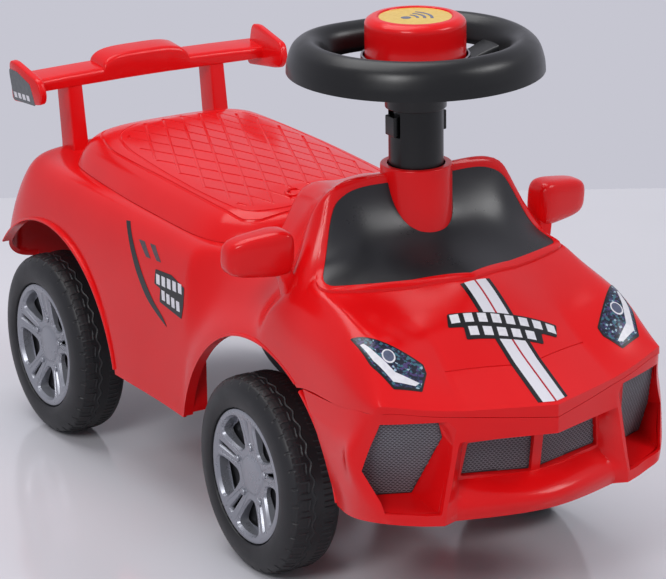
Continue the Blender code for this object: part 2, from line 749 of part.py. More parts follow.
def in_plane(outline, at, u, v, side, depth):
    """Points of a plane outline on one side of the car, pushed back along the normal."""
    u, v = Vector(u).normalized(), Vector(v).normalized()
    origin = Vector(at) - u.cross(v) * depth
    return [twin(origin + u * a + v * b, side) for a, b in outline]


for side in (-1, 1):
    label = "left" if side > 0 else "right"
    opening = sided_plate(
        f"cut_grille_{label}", GRILLE, 40, GRILLE_AT, GRILLE_U, GRILLE_V, side, 0,
    )
    bumper_cuts.append(opening)
    collar = sided_plate(
        f"grille_collar_{label}", inset(GRILLE, -1.6), 6.5, GRILLE_AT, GRILLE_U, GRILLE_V,
        side, 3.1,
    )
    bumper_joins.append(collar)
    sided_plate(
        f"grille_mesh_{label}", inset(GRILLE, 0.35), MESH_T, GRILLE_AT, GRILLE_U, GRILLE_V,
        side, 1.5, MESH_GREY,
    )
    # intake pod: a cup behind the skin, hollowed from the front down to the mesh insert's seat
    plane = (INTAKE_AT, INTAKE_U, INTAKE_V, side)
    seat = MESH_T + GAP
    bumper_joins.append(loft(f"pod_{label}", [
        [twin(p, side) for p in POD_WALL],
        in_plane(inset(INTAKE, -POD_WALL_T), *plane, seat + POD_WALL_T),
    ]))
    bumper_cuts.append(loft(f"cut_pod_{label}", [
        [twin(p, side) for p in POD_CUT],
        in_plane(INTAKE, *plane, 0),
        in_plane(INTAKE, *plane, seat),
    ]))
    sided_plate(
        f"intake_mesh_{label}", inset(INTAKE, 0.35), MESH_T, INTAKE_AT, INTAKE_U, INTAKE_V,
        side, MESH_T / 2, MESH_GREY,
    )
    front_arch = bpy.data.objects[f"cut_arch_front_{label}"]
    bumper_cuts.append(front_arch)
    lip = ring_sector(
        f"lip_bumper_{label}", (FRONT_AXLE_Y, ARCH_Z), ARCH_R - 6, ARCH_R + 2.0,
        side * 110.7, side * 118.8, 122.5, 164,
    )
    bumper_joins.append(lip)
    # screw tab of the bumper under a boss of the shell
    bumper_joins.append(loft(f"tab_{label}", [
        [(side * x, y, z) for x, y in ((73, -289.6), (87, -283.2), (87, -254), (73, -254))]
        for z in (156.0, 158.2)
    ]))
    body_joins.append(drum(
        f"bumper_boss_{label}", 4.6, 4.6, 158.6, 188.0, at=(side * 80, -261.5), sides=16))
    pilot = drum(f"cut_boss_{label}", 1.9, 1.9, 140, 169, at=(side * 80, -262), sides=12)
    body_cuts.append(pilot)
    bumper_cuts.append(pilot)
    turned(
        f"bumper_screw_{label}",
        [(0, 167.5), (0.5, 167.5), (1.6, 165.5), (1.6, 155.6), (3.6, 155.6), (3.6, 154.6),
         (2.4, 153.4), (0, 153.1)],
        STEEL, steps=8,
    ).location = (side * 80 * MM, -262 * MM, 0)
combine(bumper, bumper_joins, bumper_cuts)

# Rear wing: blade with a hump, end plates and two posts, one moulding.
BLADE = [
    (0, 283.4, 274.8, 299.5), (20.6, 283.2, 274.6, 299.5), (29, 281, 274.0, 299.8),
    (38.5, 273.6, 273.5, 300), (70, 273, 272.5, 300), (107.5, 272, 270.4, 300),
]
stations = [(-x, top, front, rear) for x, top, front, rear in reversed(BLADE[1:])] + BLADE
blade_rings = [
    [(x, front + 0.6, 262.2), (x, front, top - 3), (x, front + 2.4, top), (x, rear - 2, top + 1.5),
     (x, rear, top), (x, rear - 1.5, 264.5)]
    for x, top, front, rear in stations
]
wing = loft("rear_wing", blade_rings, RED, smooth=50)
wing_joins = []
END_PLATE = [
    (294, 283), (291.5, 287), (284, 287.6), (243.5, 280.2), (238.6, 269), (243, 260.5),
    (250, 258.5), (293, 252.6), (296.5, 255),
]
for side in (-1, 1):
    label = "left" if side > 0 else "right"
    tilt = 0.10
    fin = plate(
        f"fin_{label}", [(y - 270, z - 270) for y, z in END_PLATE], 6.0,
        ((side * 108.4, 270, 270), (0, 1, 0), (side * tilt, 0, 1)), bevel=1.6,
    )
    wing_joins.append(settle(fin))
    post = loft(f"post_{label}", [
        [(side * x, y, z) for x, y, z in (
            (58.0 - w, front, z), (70.5 + w, front, z), (70.5 + w, rear, z), (58.0 - w, rear, z))]
        for z, front, rear, w in (
            (206.5, 266.6, 289.4, 1.0), (214, 267.4, 290, 0.6), (268, 275, 297.5, 0.0))
    ])
    wing_joins.append(post)
    socket = loft(f"cut_post_{label}", [
        [(side * x, y, z) for x, y, z in (
            (58.0 - w, front, z), (70.5 + w, front, z), (70.5 + w, rear, z), (58.0 - w, rear, z))]
        for z, front, rear, w in (
            (200, 265.4, 289.0, 1.5), (206.5, 266.2, 289.8, 1.45), (214, 267.0, 290.4, 1.05),
            (222, 268.1, 291.4, 1.0))
    ])
    body_cuts.append(socket)
combine(wing, wing_joins, [])

# Door mirrors: a rounded head on a stalk that plugs into the fender.
def stalk_shape(name, side, levels):
    """A square stalk through (height, middle x, middle y, half width) levels."""
    return loft(name, [
        [(side * x, y, z) for x, y in (
            (cx - w, cy - w), (cx + w, cy - w), (cx + w, cy + w), (cx - w, cy + w))]
        for z, cx, cy, w in levels
    ])


bm = bmesh.new()
bmesh.ops.create_cube(bm, size=1.0)
bmesh.ops.subdivide_edges(bm, edges=bm.edges, cuts=1, use_grid_fill=True)
for v in bm.verts:
    along, across, up = v.co * 2
    narrow = 1.0 - 0.16 * along - 0.06 * abs(up)
    v.co = (
        121.0 + along * 27, -133.5 + across * 13.5 * narrow - along * 1.0 + up * -2.5,
        243.8 + up * 20.0 * narrow - along * 1.5,
    )
head = link("mirror_left", from_bmesh(bm), RED, smooth=0)
modifier(head, "SUBSURF", levels=1, render_levels=1)
settle(head)
head.data.shade_smooth()
stalk = stalk_shape("stalk", 1, (
    (207, 103.5, -142.5, 5.0), (221, 105.5, -142.0, 5.2), (233, 109.0, -138.5, 5.5)))
modifier(stalk, "BEVEL", width=1.2 * MM, segments=1, limit_method="ANGLE")
combine(head, [settle(stalk)], [])
mirror_copy(head, "mirror_right", RED)
for side in (-1, 1):
    body_cuts.append(stalk_shape(f"cut_stalk_{side}", side, (
        (200, 102.5, -142.6, 5.4), (207, 103.5, -142.5, 5.4), (221, 105.5, -142.0, 5.6),
        (234, 109.3, -138.2, 6.0))))
combine(body, body_joins, body_cuts)
flatten(body, 2.0)

# Wheels: a turned black tyre and hub, and a pressed-in cover with five twin spokes.
TYRE_PROFILE = [
    (3.3, 30.0), (40.0, 29.0), (49.9, 30.5), (49.9, 41.0), (57, 42.8), (66, 41.0),
    (71.0, 36.5), (72, 31.0), (72, 11.0), (69.0, 3.0), (58, 0.2), (42, 12.0),
    (14.0, 12.0), (11.0, 0.4), (3.3, 0.4),
]
COVER_PROFILE = [
    (0, 36.4), (15.5, 35.0), (44.5, 40.4), (49.2, 39.2), (49.2, 30.9), (47.4, 30.9),
    (46.9, 37.6), (15.0, 33.0), (0, 33.0),
]
KIDNEY = [(20.0, 0.20), (29, 0.33), (41.5, 0.385)]
KIDNEY_CROWN = 43.2
TWIN_SLOT = [(22, 0.9), (42, 1.6), (42, -1.6), (22, -0.9)]
NUT_PROFILE = [
    (AXLE_R + 0.25, 32.2), (5.4, 31.8), (7.2, 30.8), (7.2, 30.3), (AXLE_R + 0.25, 30.4),
]


def polar(r, a):
    return (r * math.cos(a), r * math.sin(a))


def turned_about(outline, a):
    """A plan outline turned about its origin."""
    c, s = math.cos(a), math.sin(a)
    return [(x * c - y * s, x * s + y * c) for x, y in outline]


def wheel(place, label, side, y):
    """One wheel: its empty sits on the axle, and its parts are placed from it."""
    where = (side * (WHEEL_OUT - WHEEL_W), y, AXLE_Z)
    hub = axis_empty(f"axis_wheel_{place}_{label}", where)
    hub.rotation_euler = (0, side * math.pi / 2, 0)
    tyre = turned(f"wheel_{place}_{label}", TYRE_PROFILE, TYRE, steps=24)
    cover = turned(f"wheel_cover_{place}_{label}", COVER_PROFILE, GREY, steps=15)
    kidney = [polar(r, s) for r, s in KIDNEY] + [polar(KIDNEY_CROWN, 0)]
    kidney += [polar(r, -s) for r, s in reversed(KIDNEY)]
    for k in range(5):
        spoke = k * math.tau / 5
        for n, (outline, a) in enumerate(((kidney, spoke + math.pi / 5), (TWIN_SLOT, spoke))):
            rings = [[(u, v, z) for u, v in turned_about(outline, a)] for z in (28, 46)]
            boolean(cover, loft(f"cut_cover_{place}_{label}_{k}_{n}", rings), solver="MANIFOLD")
    settle(cover)
    tyre.parent = hub
    cover.parent = hub
    nut = turned(f"push_nut_{place}_{label}", NUT_PROFILE, STEEL, steps=12)
    nut.location = hub.location
    nut.rotation_euler = hub.rotation_euler
    if place == "front":
        hold(hub, steer)
        hold(nut, steer)


for side in (-1, 1):
    label = "left" if side > 0 else "right"
    wheel("front", label, side, FRONT_AXLE_Y)
    wheel("rear", label, side, REAR_AXLE_Y)
for place, y in (("front", FRONT_AXLE_Y), ("rear", REAR_AXLE_Y)):
    axle = drum(
        f"{place}_axle", AXLE_R, AXLE_R, -AXLE_END, AXLE_END, at=(y, AXLE_Z), sides=16,
        axis="X", finish=STEEL,
    )
    if place == "front":
        hold(axle, steer)

# Rear axle mounts: webbed feet screwed up against the tub's floor.
for side in (-1, 1):
    label = "left" if side > 0 else "right"
    x1, x2 = sorted((side * 62, side * 74))
    cheek = plate(
        f"rear_axle_mount_{label}",
        [(y - REAR_AXLE_Y, z - AXLE_Z) for y, z in (
            (202, TUB_FLOOR_Z - GAP), (203, 104), (208.5, 80), (210.5, 66.5), (217.9, 62.5),
            (225.3, 66.5), (227.3, 80), (232, 104), (234, TUB_FLOOR_Z - GAP))],
        12.0, ((side * 68, REAR_AXLE_Y, AXLE_Z), (0, 1, 0), (0, 0, 1)), finish=BLACK,
    )
    relief = box(
        f"cut_mount_{label}", (side * 68 - (1.5 if side > 0 else 7), 206, 86),
        (side * 68 + (7 if side > 0 else 1.5), 229, 111.5),
    )
    eye = drum(
        f"cut_mount_eye_{label}", AXLE_R + GAP, AXLE_R + GAP, x1 - 2, x2 + 2,
        at=(REAR_AXLE_Y, AXLE_Z), sides=20, axis="X",
    )
    combine(cheek, [], [relief, eye])

# Steering: yoke with the front axle, washer, column, wheel with its plug, horn.
yoke = loft("steering_yoke", [
    [(x, y, z) for y, z in (
        (-130.5, 62), (-102.5, 62), (-102.5, 80), (-108, 86), (-130.5, 86))]
    for x in (-85.5, 85.5)
], BLACK, smooth=0)
platform = drum("yoke_platform", 29, 30, 80, 92, at=(0, COLUMN_Y), sides=28)
spigot = drum("yoke_spigot", 16.2, 15.2, 90, 126, at=(0, COLUMN_Y), sides=24)
neck = box("yoke_neck", (-24, -142, 64), (24, -112, 91.5))
hollows = []
for x1, x2 in ((-83.3, -56), (-53.8, -26.5), (26.5, 53.8), (56, 83.3)):
    hollows.append(box(f"cut_yoke_{x1}", (x1, -128.3, 50), (x2, -121.6, 83.6)))
    hollows.append(box(f"cut_yoke_b_{x1}", (x1, -111.2, 50), (x2, -104.7, 78.5)))
axle_eye = drum(
    "cut_yoke_axle", AXLE_R + GAP, AXLE_R + GAP, -95, 95, at=(FRONT_AXLE_Y, AXLE_Z), sides=20,
    axis="X",
)
screw_way = drum("cut_yoke_screw", 2.1, 2.1, 60, 130, at=(0, COLUMN_Y), sides=16)
head_way = drum("cut_yoke_head", 5.0, 5.0, 50, 86, at=(0, COLUMN_Y), sides=20)
combine(yoke, [platform, spigot, neck], hollows + [axle_eye, screw_way, head_way])
hold(yoke, steer)
turned(
    "column_screw",
    [(0, 134), (0.6, 134), (1.8, 131.5), (1.8, 85.6), (4.2, 85.6), (4.2, 84.0), (2.8, 82.8),
     (0, 82.4)],
    STEEL, steps=10,
).parent = steer
turned(
    "thrust_washer", [(27.5, SLEEVE_FOOT - 0.3), (27.5, 92.3), (19.9, 92.3),
                      (19.9, SLEEVE_FOOT - 0.3)],
    GREY, steps=28,
).parent = steer
column = turned(
    "steering_column",
    [(COLUMN_R - 0.6, 346.0), (COLUMN_R, 345.4), (COLUMN_R, 92.3), (COLUMN_BORE, 92.3),
     (COLUMN_BORE, 127.5), (2.2, 127.5), (2.2, 136.5), (COLUMN_BORE, 136.5),
     (COLUMN_BORE, 346.0)],
    BLACK, steps=28,
)
windows = box("cut_windows", (-30, -8, 311.5), (30, 8, 331))
boolean(column, windows, solver="MANIFOLD")
settle(column).parent = steer


def d_outline(radius, flat, count=34):
    """A circle cut by a chord on the rider's side, its corners eased."""
    reach = []
    for k in range(count):
        a = math.tau * k / count
        toward = math.sin(a)
        limit = flat / toward if toward > 1e-6 else 1e9
        reach.append(min(radius, limit))
    for _ in range(3):
        reach = [
            (reach[k - 1] + 2 * reach[k] + reach[(k + 1) % count]) / 4 for k in range(count)
        ]
    return [
        (r * math.cos(math.tau * k / count), r * math.sin(math.tau * k / count))
        for k, r in enumerate(reach)
    ]


RIM_OUT = d_outline(90.5, 72.0)
RIM_IN = d_outline(62.0, 44.0)
RIM_SECTION = [
    (0.0, 357.5), (0.04, 366.0), (0.20, 376.5), (0.50, RIM_TOP_Z), (0.80, 377.5),
    (1.0, 363.0), (0.91, 363.0), (0.74, 374.5), (0.50, 379.3), (0.26, 373.5),
    (0.12, 365.0), (0.09, 357.5),
]
rings = []
for (x1, y1), (x2, y2) in zip(RIM_OUT, RIM_IN):
    rings.append([
        (x1 + (x2 - x1) * s, COLUMN_Y + y1 + (y2 - y1) * s, z) for s, z in RIM_SECTION
    ])
rim = loft("steering_wheel", rings + rings[:1], BLACK, caps=False, smooth=50)
bm = bmesh.new()
bm.from_mesh(rim.data)
bmesh.ops.remove_doubles(bm, verts=bm.verts, dist=0.001 * MM)
bm.to_mesh(rim.data)
bm.free()
cup = turned(
    "hub_cup",
    [(38.2, 368.5), (38.2, 353.0), (21.7, 350.5), (21.7, 331.0), (19.75, 331.0),
     (19.75, 347.0), (16.3, 347.0), (16.3, 309.5), (13.8, 309.5), (13.8, 354.2),
     (36.6, 354.2), (36.6, 368.5)],
    None, steps=24,
)
cup.location = (0, COLUMN_Y * MM, 0)
wheel_joins = [cup]
for side in (-1, 1):
    spoke = loft(f"spoke_{side}", [
        [(side * x, COLUMN_Y + y, z) for y, z in (
            (-w, 356.0), (w, 356.0), (w - 2.5, top), (-w + 2.5, top))]
        for x, w, top in ((37.3, 13, 361), (50, 12, 364), (63.8, 14, 368.5))
    ])
    wheel_joins.append(spoke)
    tab = box(
        f"snap_tab_{side}", (15.2 if side > 0 else -21.6, COLUMN_Y - 5.5, 312.4),
        (21.6 if side > 0 else -15.2, COLUMN_Y + 5.5, 326.5),
    )
    wheel_joins.append(tab)
tail = loft("spoke_rider", [
    [(x, COLUMN_Y + y, z) for x, z in ((-w, 356.0), (w, 356.0), (w - 2.5, top), (-w + 2.5, top))]
    for y, w, top in ((37.3, 13, 361), (46.5, 15, 368.5))
])
wheel_joins.append(tail)
hold(combine(rim, wheel_joins, []), steer)

horn = axis_empty("axis_horn", (0, COLUMN_Y, 0))
turned(
    "horn_cap",
    [(0, 394.9), (24.6, 394.9), (25.4, HORN_TOP), (30.8, 395.4), (34.4, 392.8),
     (HORN_R, 388), (HORN_R, 361.0), (33.2, 361.0), (33.2, 389.0), (29.5, 392.8),
     (0, 392.5)],
    RED, steps=32,
).parent = horn
turned(
    "horn_bellows",
    [(0, 388.6), (8.0, 388.0), (11.0, 384.5), (8.2, 381.0), (11.0, 377.5), (8.2, 374.0),
     (11.0, 370.5), (8.2, 367.0), (12.5, 363.0), (12.5, 354.6), (0, 354.6)],
    (BLACK[0], 0.5), steps=14,
).parent = steer
spring_data = bpy.data.curves.new("horn_spring", "CURVE")
spring_data.dimensions = "3D"
spring_data.bevel_depth = 0.7 * MM
spring_data.bevel_resolution = 0
spring_data.use_fill_caps = True
coil = spring_data.splines.new("POLY")
TURNS, PER_TURN, SPRING_R = 4, 11, 17.0
count = int(TURNS * PER_TURN) + 1
coil.points.add(count - 1)
for k in range(count):
    a = math.tau * k / PER_TURN
    rise = 355.6 + (388.0 - 355.6) * k / (count - 1)
    coil.points[k].co = (
        SPRING_R * math.cos(a) * MM, SPRING_R * math.sin(a) * MM, rise * MM, 1.0)
spring = bpy.data.objects.new("horn_spring", spring_data)
spring.data.materials.append(material("horn_spring", *STEEL))
parts.objects.link(spring)
spring.parent = steer
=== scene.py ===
# %% [markdown]
# # Kids push car, dressed for its picture
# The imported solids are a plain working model: they hold the sizes, the joints and the collision
# shapes. They could be smoothed where they are, but then the joints would no longer fit them. So
# they are loaded as a fixed frame, each visible moulding is modelled again with finer surfaces in
# the same place, and every piece rides on the body that carries it. Sizes in the tables are
# millimetres, and the scene itself is in metres.

# %% Load the frame
import math

import bmesh
import bpy
import numpy as np
from mathutils import Matrix, Vector
from mathutils.bvhtree import BVHTree


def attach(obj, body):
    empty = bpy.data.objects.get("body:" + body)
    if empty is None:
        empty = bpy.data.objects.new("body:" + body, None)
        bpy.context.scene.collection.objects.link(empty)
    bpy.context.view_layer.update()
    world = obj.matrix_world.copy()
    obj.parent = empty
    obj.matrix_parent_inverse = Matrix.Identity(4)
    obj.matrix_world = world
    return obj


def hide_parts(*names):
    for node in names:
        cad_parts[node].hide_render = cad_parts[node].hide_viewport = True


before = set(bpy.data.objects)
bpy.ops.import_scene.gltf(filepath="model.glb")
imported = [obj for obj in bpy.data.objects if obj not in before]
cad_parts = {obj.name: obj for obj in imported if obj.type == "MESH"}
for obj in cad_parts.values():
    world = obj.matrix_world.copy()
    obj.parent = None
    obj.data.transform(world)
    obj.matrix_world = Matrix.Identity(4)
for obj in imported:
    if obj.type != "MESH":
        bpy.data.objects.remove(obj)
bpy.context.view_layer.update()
MM = 0.001

# %% [markdown]
# ## Measurements
# X runs across the car, Y back along it and Z up, and the wheels stand on Z = 0. A finer piece
# has to land where its solid is. Its size could be read from the solid's box, but a box doesn't
# know where an axle or a bore is, so these values repeat the ones that drive the solids.

# %% Driving sizes
COLUMN_Y = -141.6
FRONT_AXLE_Y, REAR_AXLE_Y, AXLE_Z = -116.4, 217.9, 72.0
ARCH_R, ARCH_Z = 115.0, 56.0
WHEEL_OUT, WHEEL_W = 130.6, 42.8
SLEEVE_R, SLEEVE_BORE, SLEEVE_FOOT, SLEEVE_TOP = 25.4, 20.6, 96.0, 290.4
SKIN = 2.5  # wall of the mouldings
DECK_Z = 210.0
FINE = 3  # subdivision level of the big panels
SIDES = ((-1, "right"), (1, "left"))
print("wheelbase in millimetres:", round(REAR_AXLE_Y - FRONT_AXLE_Y, 1))

# %% [markdown]
# ## Mesh helpers
# Most mouldings of a toy are a section swept, turned or pulled straight, with rounded corners
# and cuts. Blender's primitives would need a turn and a scale each. Here the points are written
# in their final place instead, so every object stays at the origin, unturned and unscaled.

# %% Meshes from points
def mesh_object(name, verts, faces, smooth=35.0):
    """An object at the origin from points in millimetres."""
    bm = bmesh.new()
    points = [bm.verts.new(Vector(p) * MM) for p in verts]
    for face in faces:
        bm.faces.new([points[i] for i in face])
    bmesh.ops.remove_doubles(bm, verts=bm.verts, dist=0.001 * MM)
    bmesh.ops.recalc_face_normals(bm, faces=bm.faces)
    mesh = bpy.data.meshes.new(name)
    bm.to_mesh(mesh)
    bm.free()
    mesh.shade_smooth()
    mesh.set_sharp_from_angle(angle=math.radians(smooth))
    return mesh_holder(name, mesh)


def mesh_holder(name, mesh):
    """A new object in the scene that holds a mesh."""
    obj = bpy.data.objects.new(name, mesh)
    bpy.context.scene.collection.objects.link(obj)
    return obj


def loft(name, rings, loop=False, smooth=35.0):
    """Faces between closed rings of equally many points, capped unless the rings make a loop."""
    count, last = len(rings[0]), len(rings) - 1
    verts = [p for ring in rings for p in ring]
    faces = []
    for a, b in [(k, k + 1) for k in range(last)] + ([(last, 0)] if loop else []):
        for k in range(count):
            m = (k + 1) % count
            faces.append((a * count + k, a * count + m, b * count + m, b * count + k))
    if not loop:
        faces.append(tuple(range(count)))
        faces.append(tuple(range(last * count, (last + 1) * count)))
    return mesh_object(name, verts, faces, smooth)


print("loft ready")

# %% Straight bars and turned profiles
def bar_x(name, outline, x1, x2, side=1):
    """A bar along X on an outline of (y, z)."""
    return loft(name, [[(side * x, y, z) for y, z in outline] for x in (x1, x2)])


def bar_y(name, outline, y1, y2, side=1):
    """A bar along Y on an outline of (x, z)."""
    return loft(name, [[(side * x, y, z) for x, z in outline] for y in (y1, y2)])


def prism(name, outline, z1, z2, side=1):
    """An upright bar on an outline of (x, y)."""
    return loft(name, [[(side * x, y, z) for x, y in outline] for z in (z1, z2)])


def turned(name, profile, steps=96, smooth=35.0):
    """A profile of (radius, height) turned about Z; a closed ring unless it starts on the axis."""
    count = len(profile)
    verts = [(r * math.cos(a), r * math.sin(a), z)
             for a in np.linspace(0, math.tau, steps, endpoint=False) for r, z in profile]
    faces = []
    spans = count - 1 if profile[0][0] < 1e-6 else count
    for a in range(steps):
        b = (a + 1) % steps
        for k in range(spans):
            m = (k + 1) % count
            quad = (a * count + k, b * count + k, b * count + m, a * count + m)
            if profile[k][0] < 1e-6:
                quad = (a * count + k, b * count + m, a * count + m)
            elif profile[m][0] < 1e-6:
                quad = (a * count + k, b * count + k, a * count + m)
            faces.append(quad)
    return mesh_object(name, verts, faces, smooth)


print("bars and turned shapes ready")

# %% Outlines with rounded corners
def fillet(points, radius, steps=4, closed=True):
    """Rounds the corners of an outline; radius is one size or one for each corner."""
    pts = [np.array(p, float) for p in points]
    count = len(pts)
    radii = [radius] * count if np.isscalar(radius) else list(radius)
    out = []
    for k in range(count):
        if (not closed and k in (0, count - 1)) or radii[k] <= 0:
            out.append(tuple(pts[k]))
            continue
        back, ahead = pts[k - 1] - pts[k], pts[(k + 1) % count] - pts[k]
        d1, d2 = np.linalg.norm(back), np.linalg.norm(ahead)
        reach = min(radii[k], 0.48 * d1, 0.48 * d2)
        a, b = pts[k] + back / d1 * reach, pts[k] + ahead / d2 * reach
        for t in np.linspace(0, 1, steps + 1):
            out.append(tuple((1 - t) ** 2 * a + 2 * t * (1 - t) * pts[k] + t * t * b))
    return out


def smooth_loop(points, per_span=4, closed=True):
    """A Catmull-Rom curve through 2D points."""
    count = len(points)
    out = []
    for k in range(count if closed else count - 1):
        if closed:
            quad = [points[(k + n) % count] for n in (-1, 0, 1, 2)]
        else:
            quad = [points[min(max(k + n, 0), count - 1)] for n in (-1, 0, 1, 2)]
        a, b, c, d = (np.array(q, float) for q in quad)
        for n in range(per_span):
            t = n / per_span
            out.append(tuple(
                0.5 * (2 * b + (c - a) * t + (2 * a - 5 * b + 4 * c - d) * t * t
                       + (3 * b - a - 3 * c + d) * t ** 3)))
    if not closed:
        out.append(tuple(points[-1]))
    return out


def both_sides(half):
    """A closed outline from its half at x >= 0."""
    return list(half) + [(-x, y) for x, y in reversed(half) if x > 1e-6]


def disc(cx, cy, r, count=32):
    """A round outline."""
    return [(cx + r * math.cos(a), cy + r * math.sin(a))
            for a in np.linspace(0, math.tau, count, endpoint=False)]


print("a filleted square has", len(fillet([(0, 0), (1, 0), (1, 1), (0, 1)], 0.2)), "points")

# %% Outlines moved and resampled
def inset(outline, distance):
    """An outline moved inward by a distance along its corner normals."""
    pts = np.array(outline, float)
    ahead = np.roll(pts, -1, 0) - pts
    back = pts - np.roll(pts, 1, 0)
    ahead /= np.linalg.norm(ahead, axis=1)[:, None]
    back /= np.linalg.norm(back, axis=1)[:, None]
    tangent = ahead + back
    tangent /= np.linalg.norm(tangent, axis=1)[:, None]
    area = np.sum(pts[:, 0] * np.roll(pts[:, 1], -1) - np.roll(pts[:, 0], -1) * pts[:, 1])
    normal = np.stack([-tangent[:, 1], tangent[:, 0]], 1) * (1 if area > 0 else -1)
    cosine = np.clip(np.sum(tangent * ahead, axis=1), 0.5, 1)[:, None]
    return [tuple(q) for q in pts + normal * distance / cosine]


def evenly(outline, count):
    """A closed outline resampled at equal steps."""
    pts = np.array(list(outline) + [outline[0]], float)
    along = np.concatenate([[0], np.cumsum(np.linalg.norm(np.diff(pts, axis=0), axis=1))])
    marks = np.linspace(0, along[-1], count, endpoint=False)
    return [(float(np.interp(s, along, pts[:, 0])), float(np.interp(s, along, pts[:, 1])))
            for s in marks]


def inside(x, y, outline):
    """Whether a point lies inside an outline."""
    hit = False
    for (x1, y1), (x2, y2) in zip(outline, outline[1:] + outline[:1]):
        if (y1 > y) != (y2 > y) and x < (x2 - x1) * (y - y1) / (y2 - y1) + x1:
            hit = not hit
    return hit


print("outline helpers ready")

# %% Changing an object
def modifier(obj, kind, **settings):
    """Adds a modifier with its settings."""
    mod = obj.modifiers.new(kind.title(), kind)
    for key, value in settings.items():
        setattr(mod, key, value)
    return mod


def settle(obj, smooth=None):
    """Applies the modifiers, and can mark the sharp edges again."""
    bpy.context.view_layer.update()
    graph = bpy.context.evaluated_depsgraph_get()
    mesh = bpy.data.meshes.new_from_object(obj.evaluated_get(graph))
    obj.modifiers.clear()
    obj.data = mesh
    if smooth is not None:
        mesh.shade_smooth()
        mesh.set_sharp_from_angle(angle=math.radians(smooth))
    return obj


def carve(obj, tools, operation="DIFFERENCE", smooth=None):
    """Cuts, joins or intersects with each tool in turn, then removes the tools."""
    for tool in tools:
        modifier(obj, "BOOLEAN", operation=operation, solver="MANIFOLD", object=tool)
    settle(obj, smooth)
    for tool in tools:
        bpy.data.objects.remove(tool, do_unlink=True)
    return obj


print("modifier and boolean helpers ready")

# %% Moving a mesh
def place(obj, matrix):
    """Moves the mesh itself, so that the object stays at the origin."""
    obj.data.transform(matrix)
    if matrix.to_3x3().determinant() < 0:
        obj.data.flip_normals()
    obj.data.update()
    return obj


def at(x, y, z):
    """The matrix that moves a mesh by a distance in millimetres."""
    return Matrix.Translation(Vector((x, y, z)) * MM)


def twin(obj, name):
    """A copy mirrored to the other side of the car."""
    return place(mesh_holder(name, obj.data.copy()), Matrix.Scale(-1, 4, (1, 0, 0)))


ON_COLUMN = at(0, COLUMN_Y, 0)
print("placing helpers ready")

# %% [markdown]
# ## Surfaces through stated points
# The shell and the bumper are free forms: soft panels that meet in sharp folds. A NURBS patch
# can't fold along part of a line, and a plain subdivision cage shrinks away from its points, so
# that measured places are missed. Here a spline solve first turns the measured points into
# control points, row by row and then column by column. The limit surface then passes through
# every point, and creased runs stay sharp.

# %% The interpolating cage
def spline_solve(points, sharp, mirrored):
    """Control points of a cubic B-spline through the points, broken at the sharp ones."""
    count = len(points)
    weights = np.zeros((count, count))
    for k in range(count):
        if sharp[k] or k == 0 or (k == count - 1 and not mirrored):
            weights[k, k] = 1.0
        elif k == count - 1:
            weights[k, k] = 4 / 6
            weights[k, k - 1] = 2 / 6
        else:
            weights[k, k - 1 : k + 2] = (1 / 6, 4 / 6, 1 / 6)
    solved = np.linalg.solve(weights, points)
    if mirrored:
        flat = weights.copy()
        flat[-1] = 0.0
        flat[-1, -1] = 1.0
        solved[:, 0] = np.linalg.solve(flat, points[:, 0])
    return solved


def half_cage(rows, row_folds, col_folds):
    """A creased cage on the car's left half whose limit surface passes through the points."""
    grid = np.array(rows, float)
    n_rows, n_cols = grid.shape[:2]
    sharp_row = np.zeros((n_rows, n_cols), bool)
    sharp_col = np.zeros((n_rows, n_cols), bool)
    for index, first, last in row_folds:
        sharp_row[index, first : last + 1] = True
    for index, first, last in col_folds:
        sharp_col[first : last + 1, index] = True
    for i in range(n_rows):
        grid[i] = spline_solve(grid[i], sharp_col[i], True)
    for j in range(n_cols):
        grid[:, j] = spline_solve(grid[:, j], sharp_row[:, j], False)
    bm = bmesh.new()
    fold = bm.edges.layers.float.new("crease_edge")
    verts = [[bm.verts.new(Vector(p) * MM) for p in row] for row in grid]
    for i in range(n_rows - 1):
        for j in range(n_cols - 1):
            bm.faces.new((verts[i][j], verts[i][j + 1], verts[i + 1][j + 1], verts[i + 1][j]))
    for index, first, last in row_folds:
        for j in range(first, last):
            bm.edges.get((verts[index][j], verts[index][j + 1]))[fold] = 1.0
    for index, first, last in col_folds:
        for i in range(first, last):
            bm.edges.get((verts[i][index], verts[i + 1][index]))[fold] = 1.0
    bm.normal_update()
    facing = sum((f.normal * f.calc_area() for f in bm.faces), Vector())
    middle = sum((f.calc_center_median() for f in bm.faces), Vector()) / len(bm.faces)
    if facing.dot(middle - Vector((0, middle.y, 0.1))) < 0:
        bmesh.ops.reverse_faces(bm, faces=bm.faces)
    return bm


print("cage solver ready")

# %% From cage to panel
def cage(name, rows, row_folds, col_folds, skin=SKIN, lift=0.0):
    """A panel through a half grid of points, mirrored at x = 0, with its skin laid inward."""
    bm = half_cage(rows, row_folds, col_folds)
    mesh = bpy.data.meshes.new(name)
    bm.to_mesh(mesh)
    bm.free()
    mesh.shade_smooth()
    obj = mesh_holder(name, mesh)
    modifier(obj, "MIRROR", use_clip=True, merge_threshold=0.0001)
    modifier(obj, "SUBSURF", levels=FINE, render_levels=FINE, boundary_smooth="PRESERVE_CORNERS")
    if lift:
        modifier(obj, "DISPLACE", strength=lift * MM, mid_level=0.0, direction="NORMAL")
    modifier(obj, "SOLIDIFY", thickness=skin * MM, offset=-1.0, use_even_offset=True)
    return settle(obj)


print("cage helper ready")

# %% [markdown]
# ## The shell's and the bumper's sections
# The real body is one red moulding from the tail to a seam above the bumper. The points that
# the photo shows were placed with rays from its camera, and those of the tail are a guess. Each
# row runs from the lower edge of the left side up to the middle of the car, and the mirror gives
# the right side.

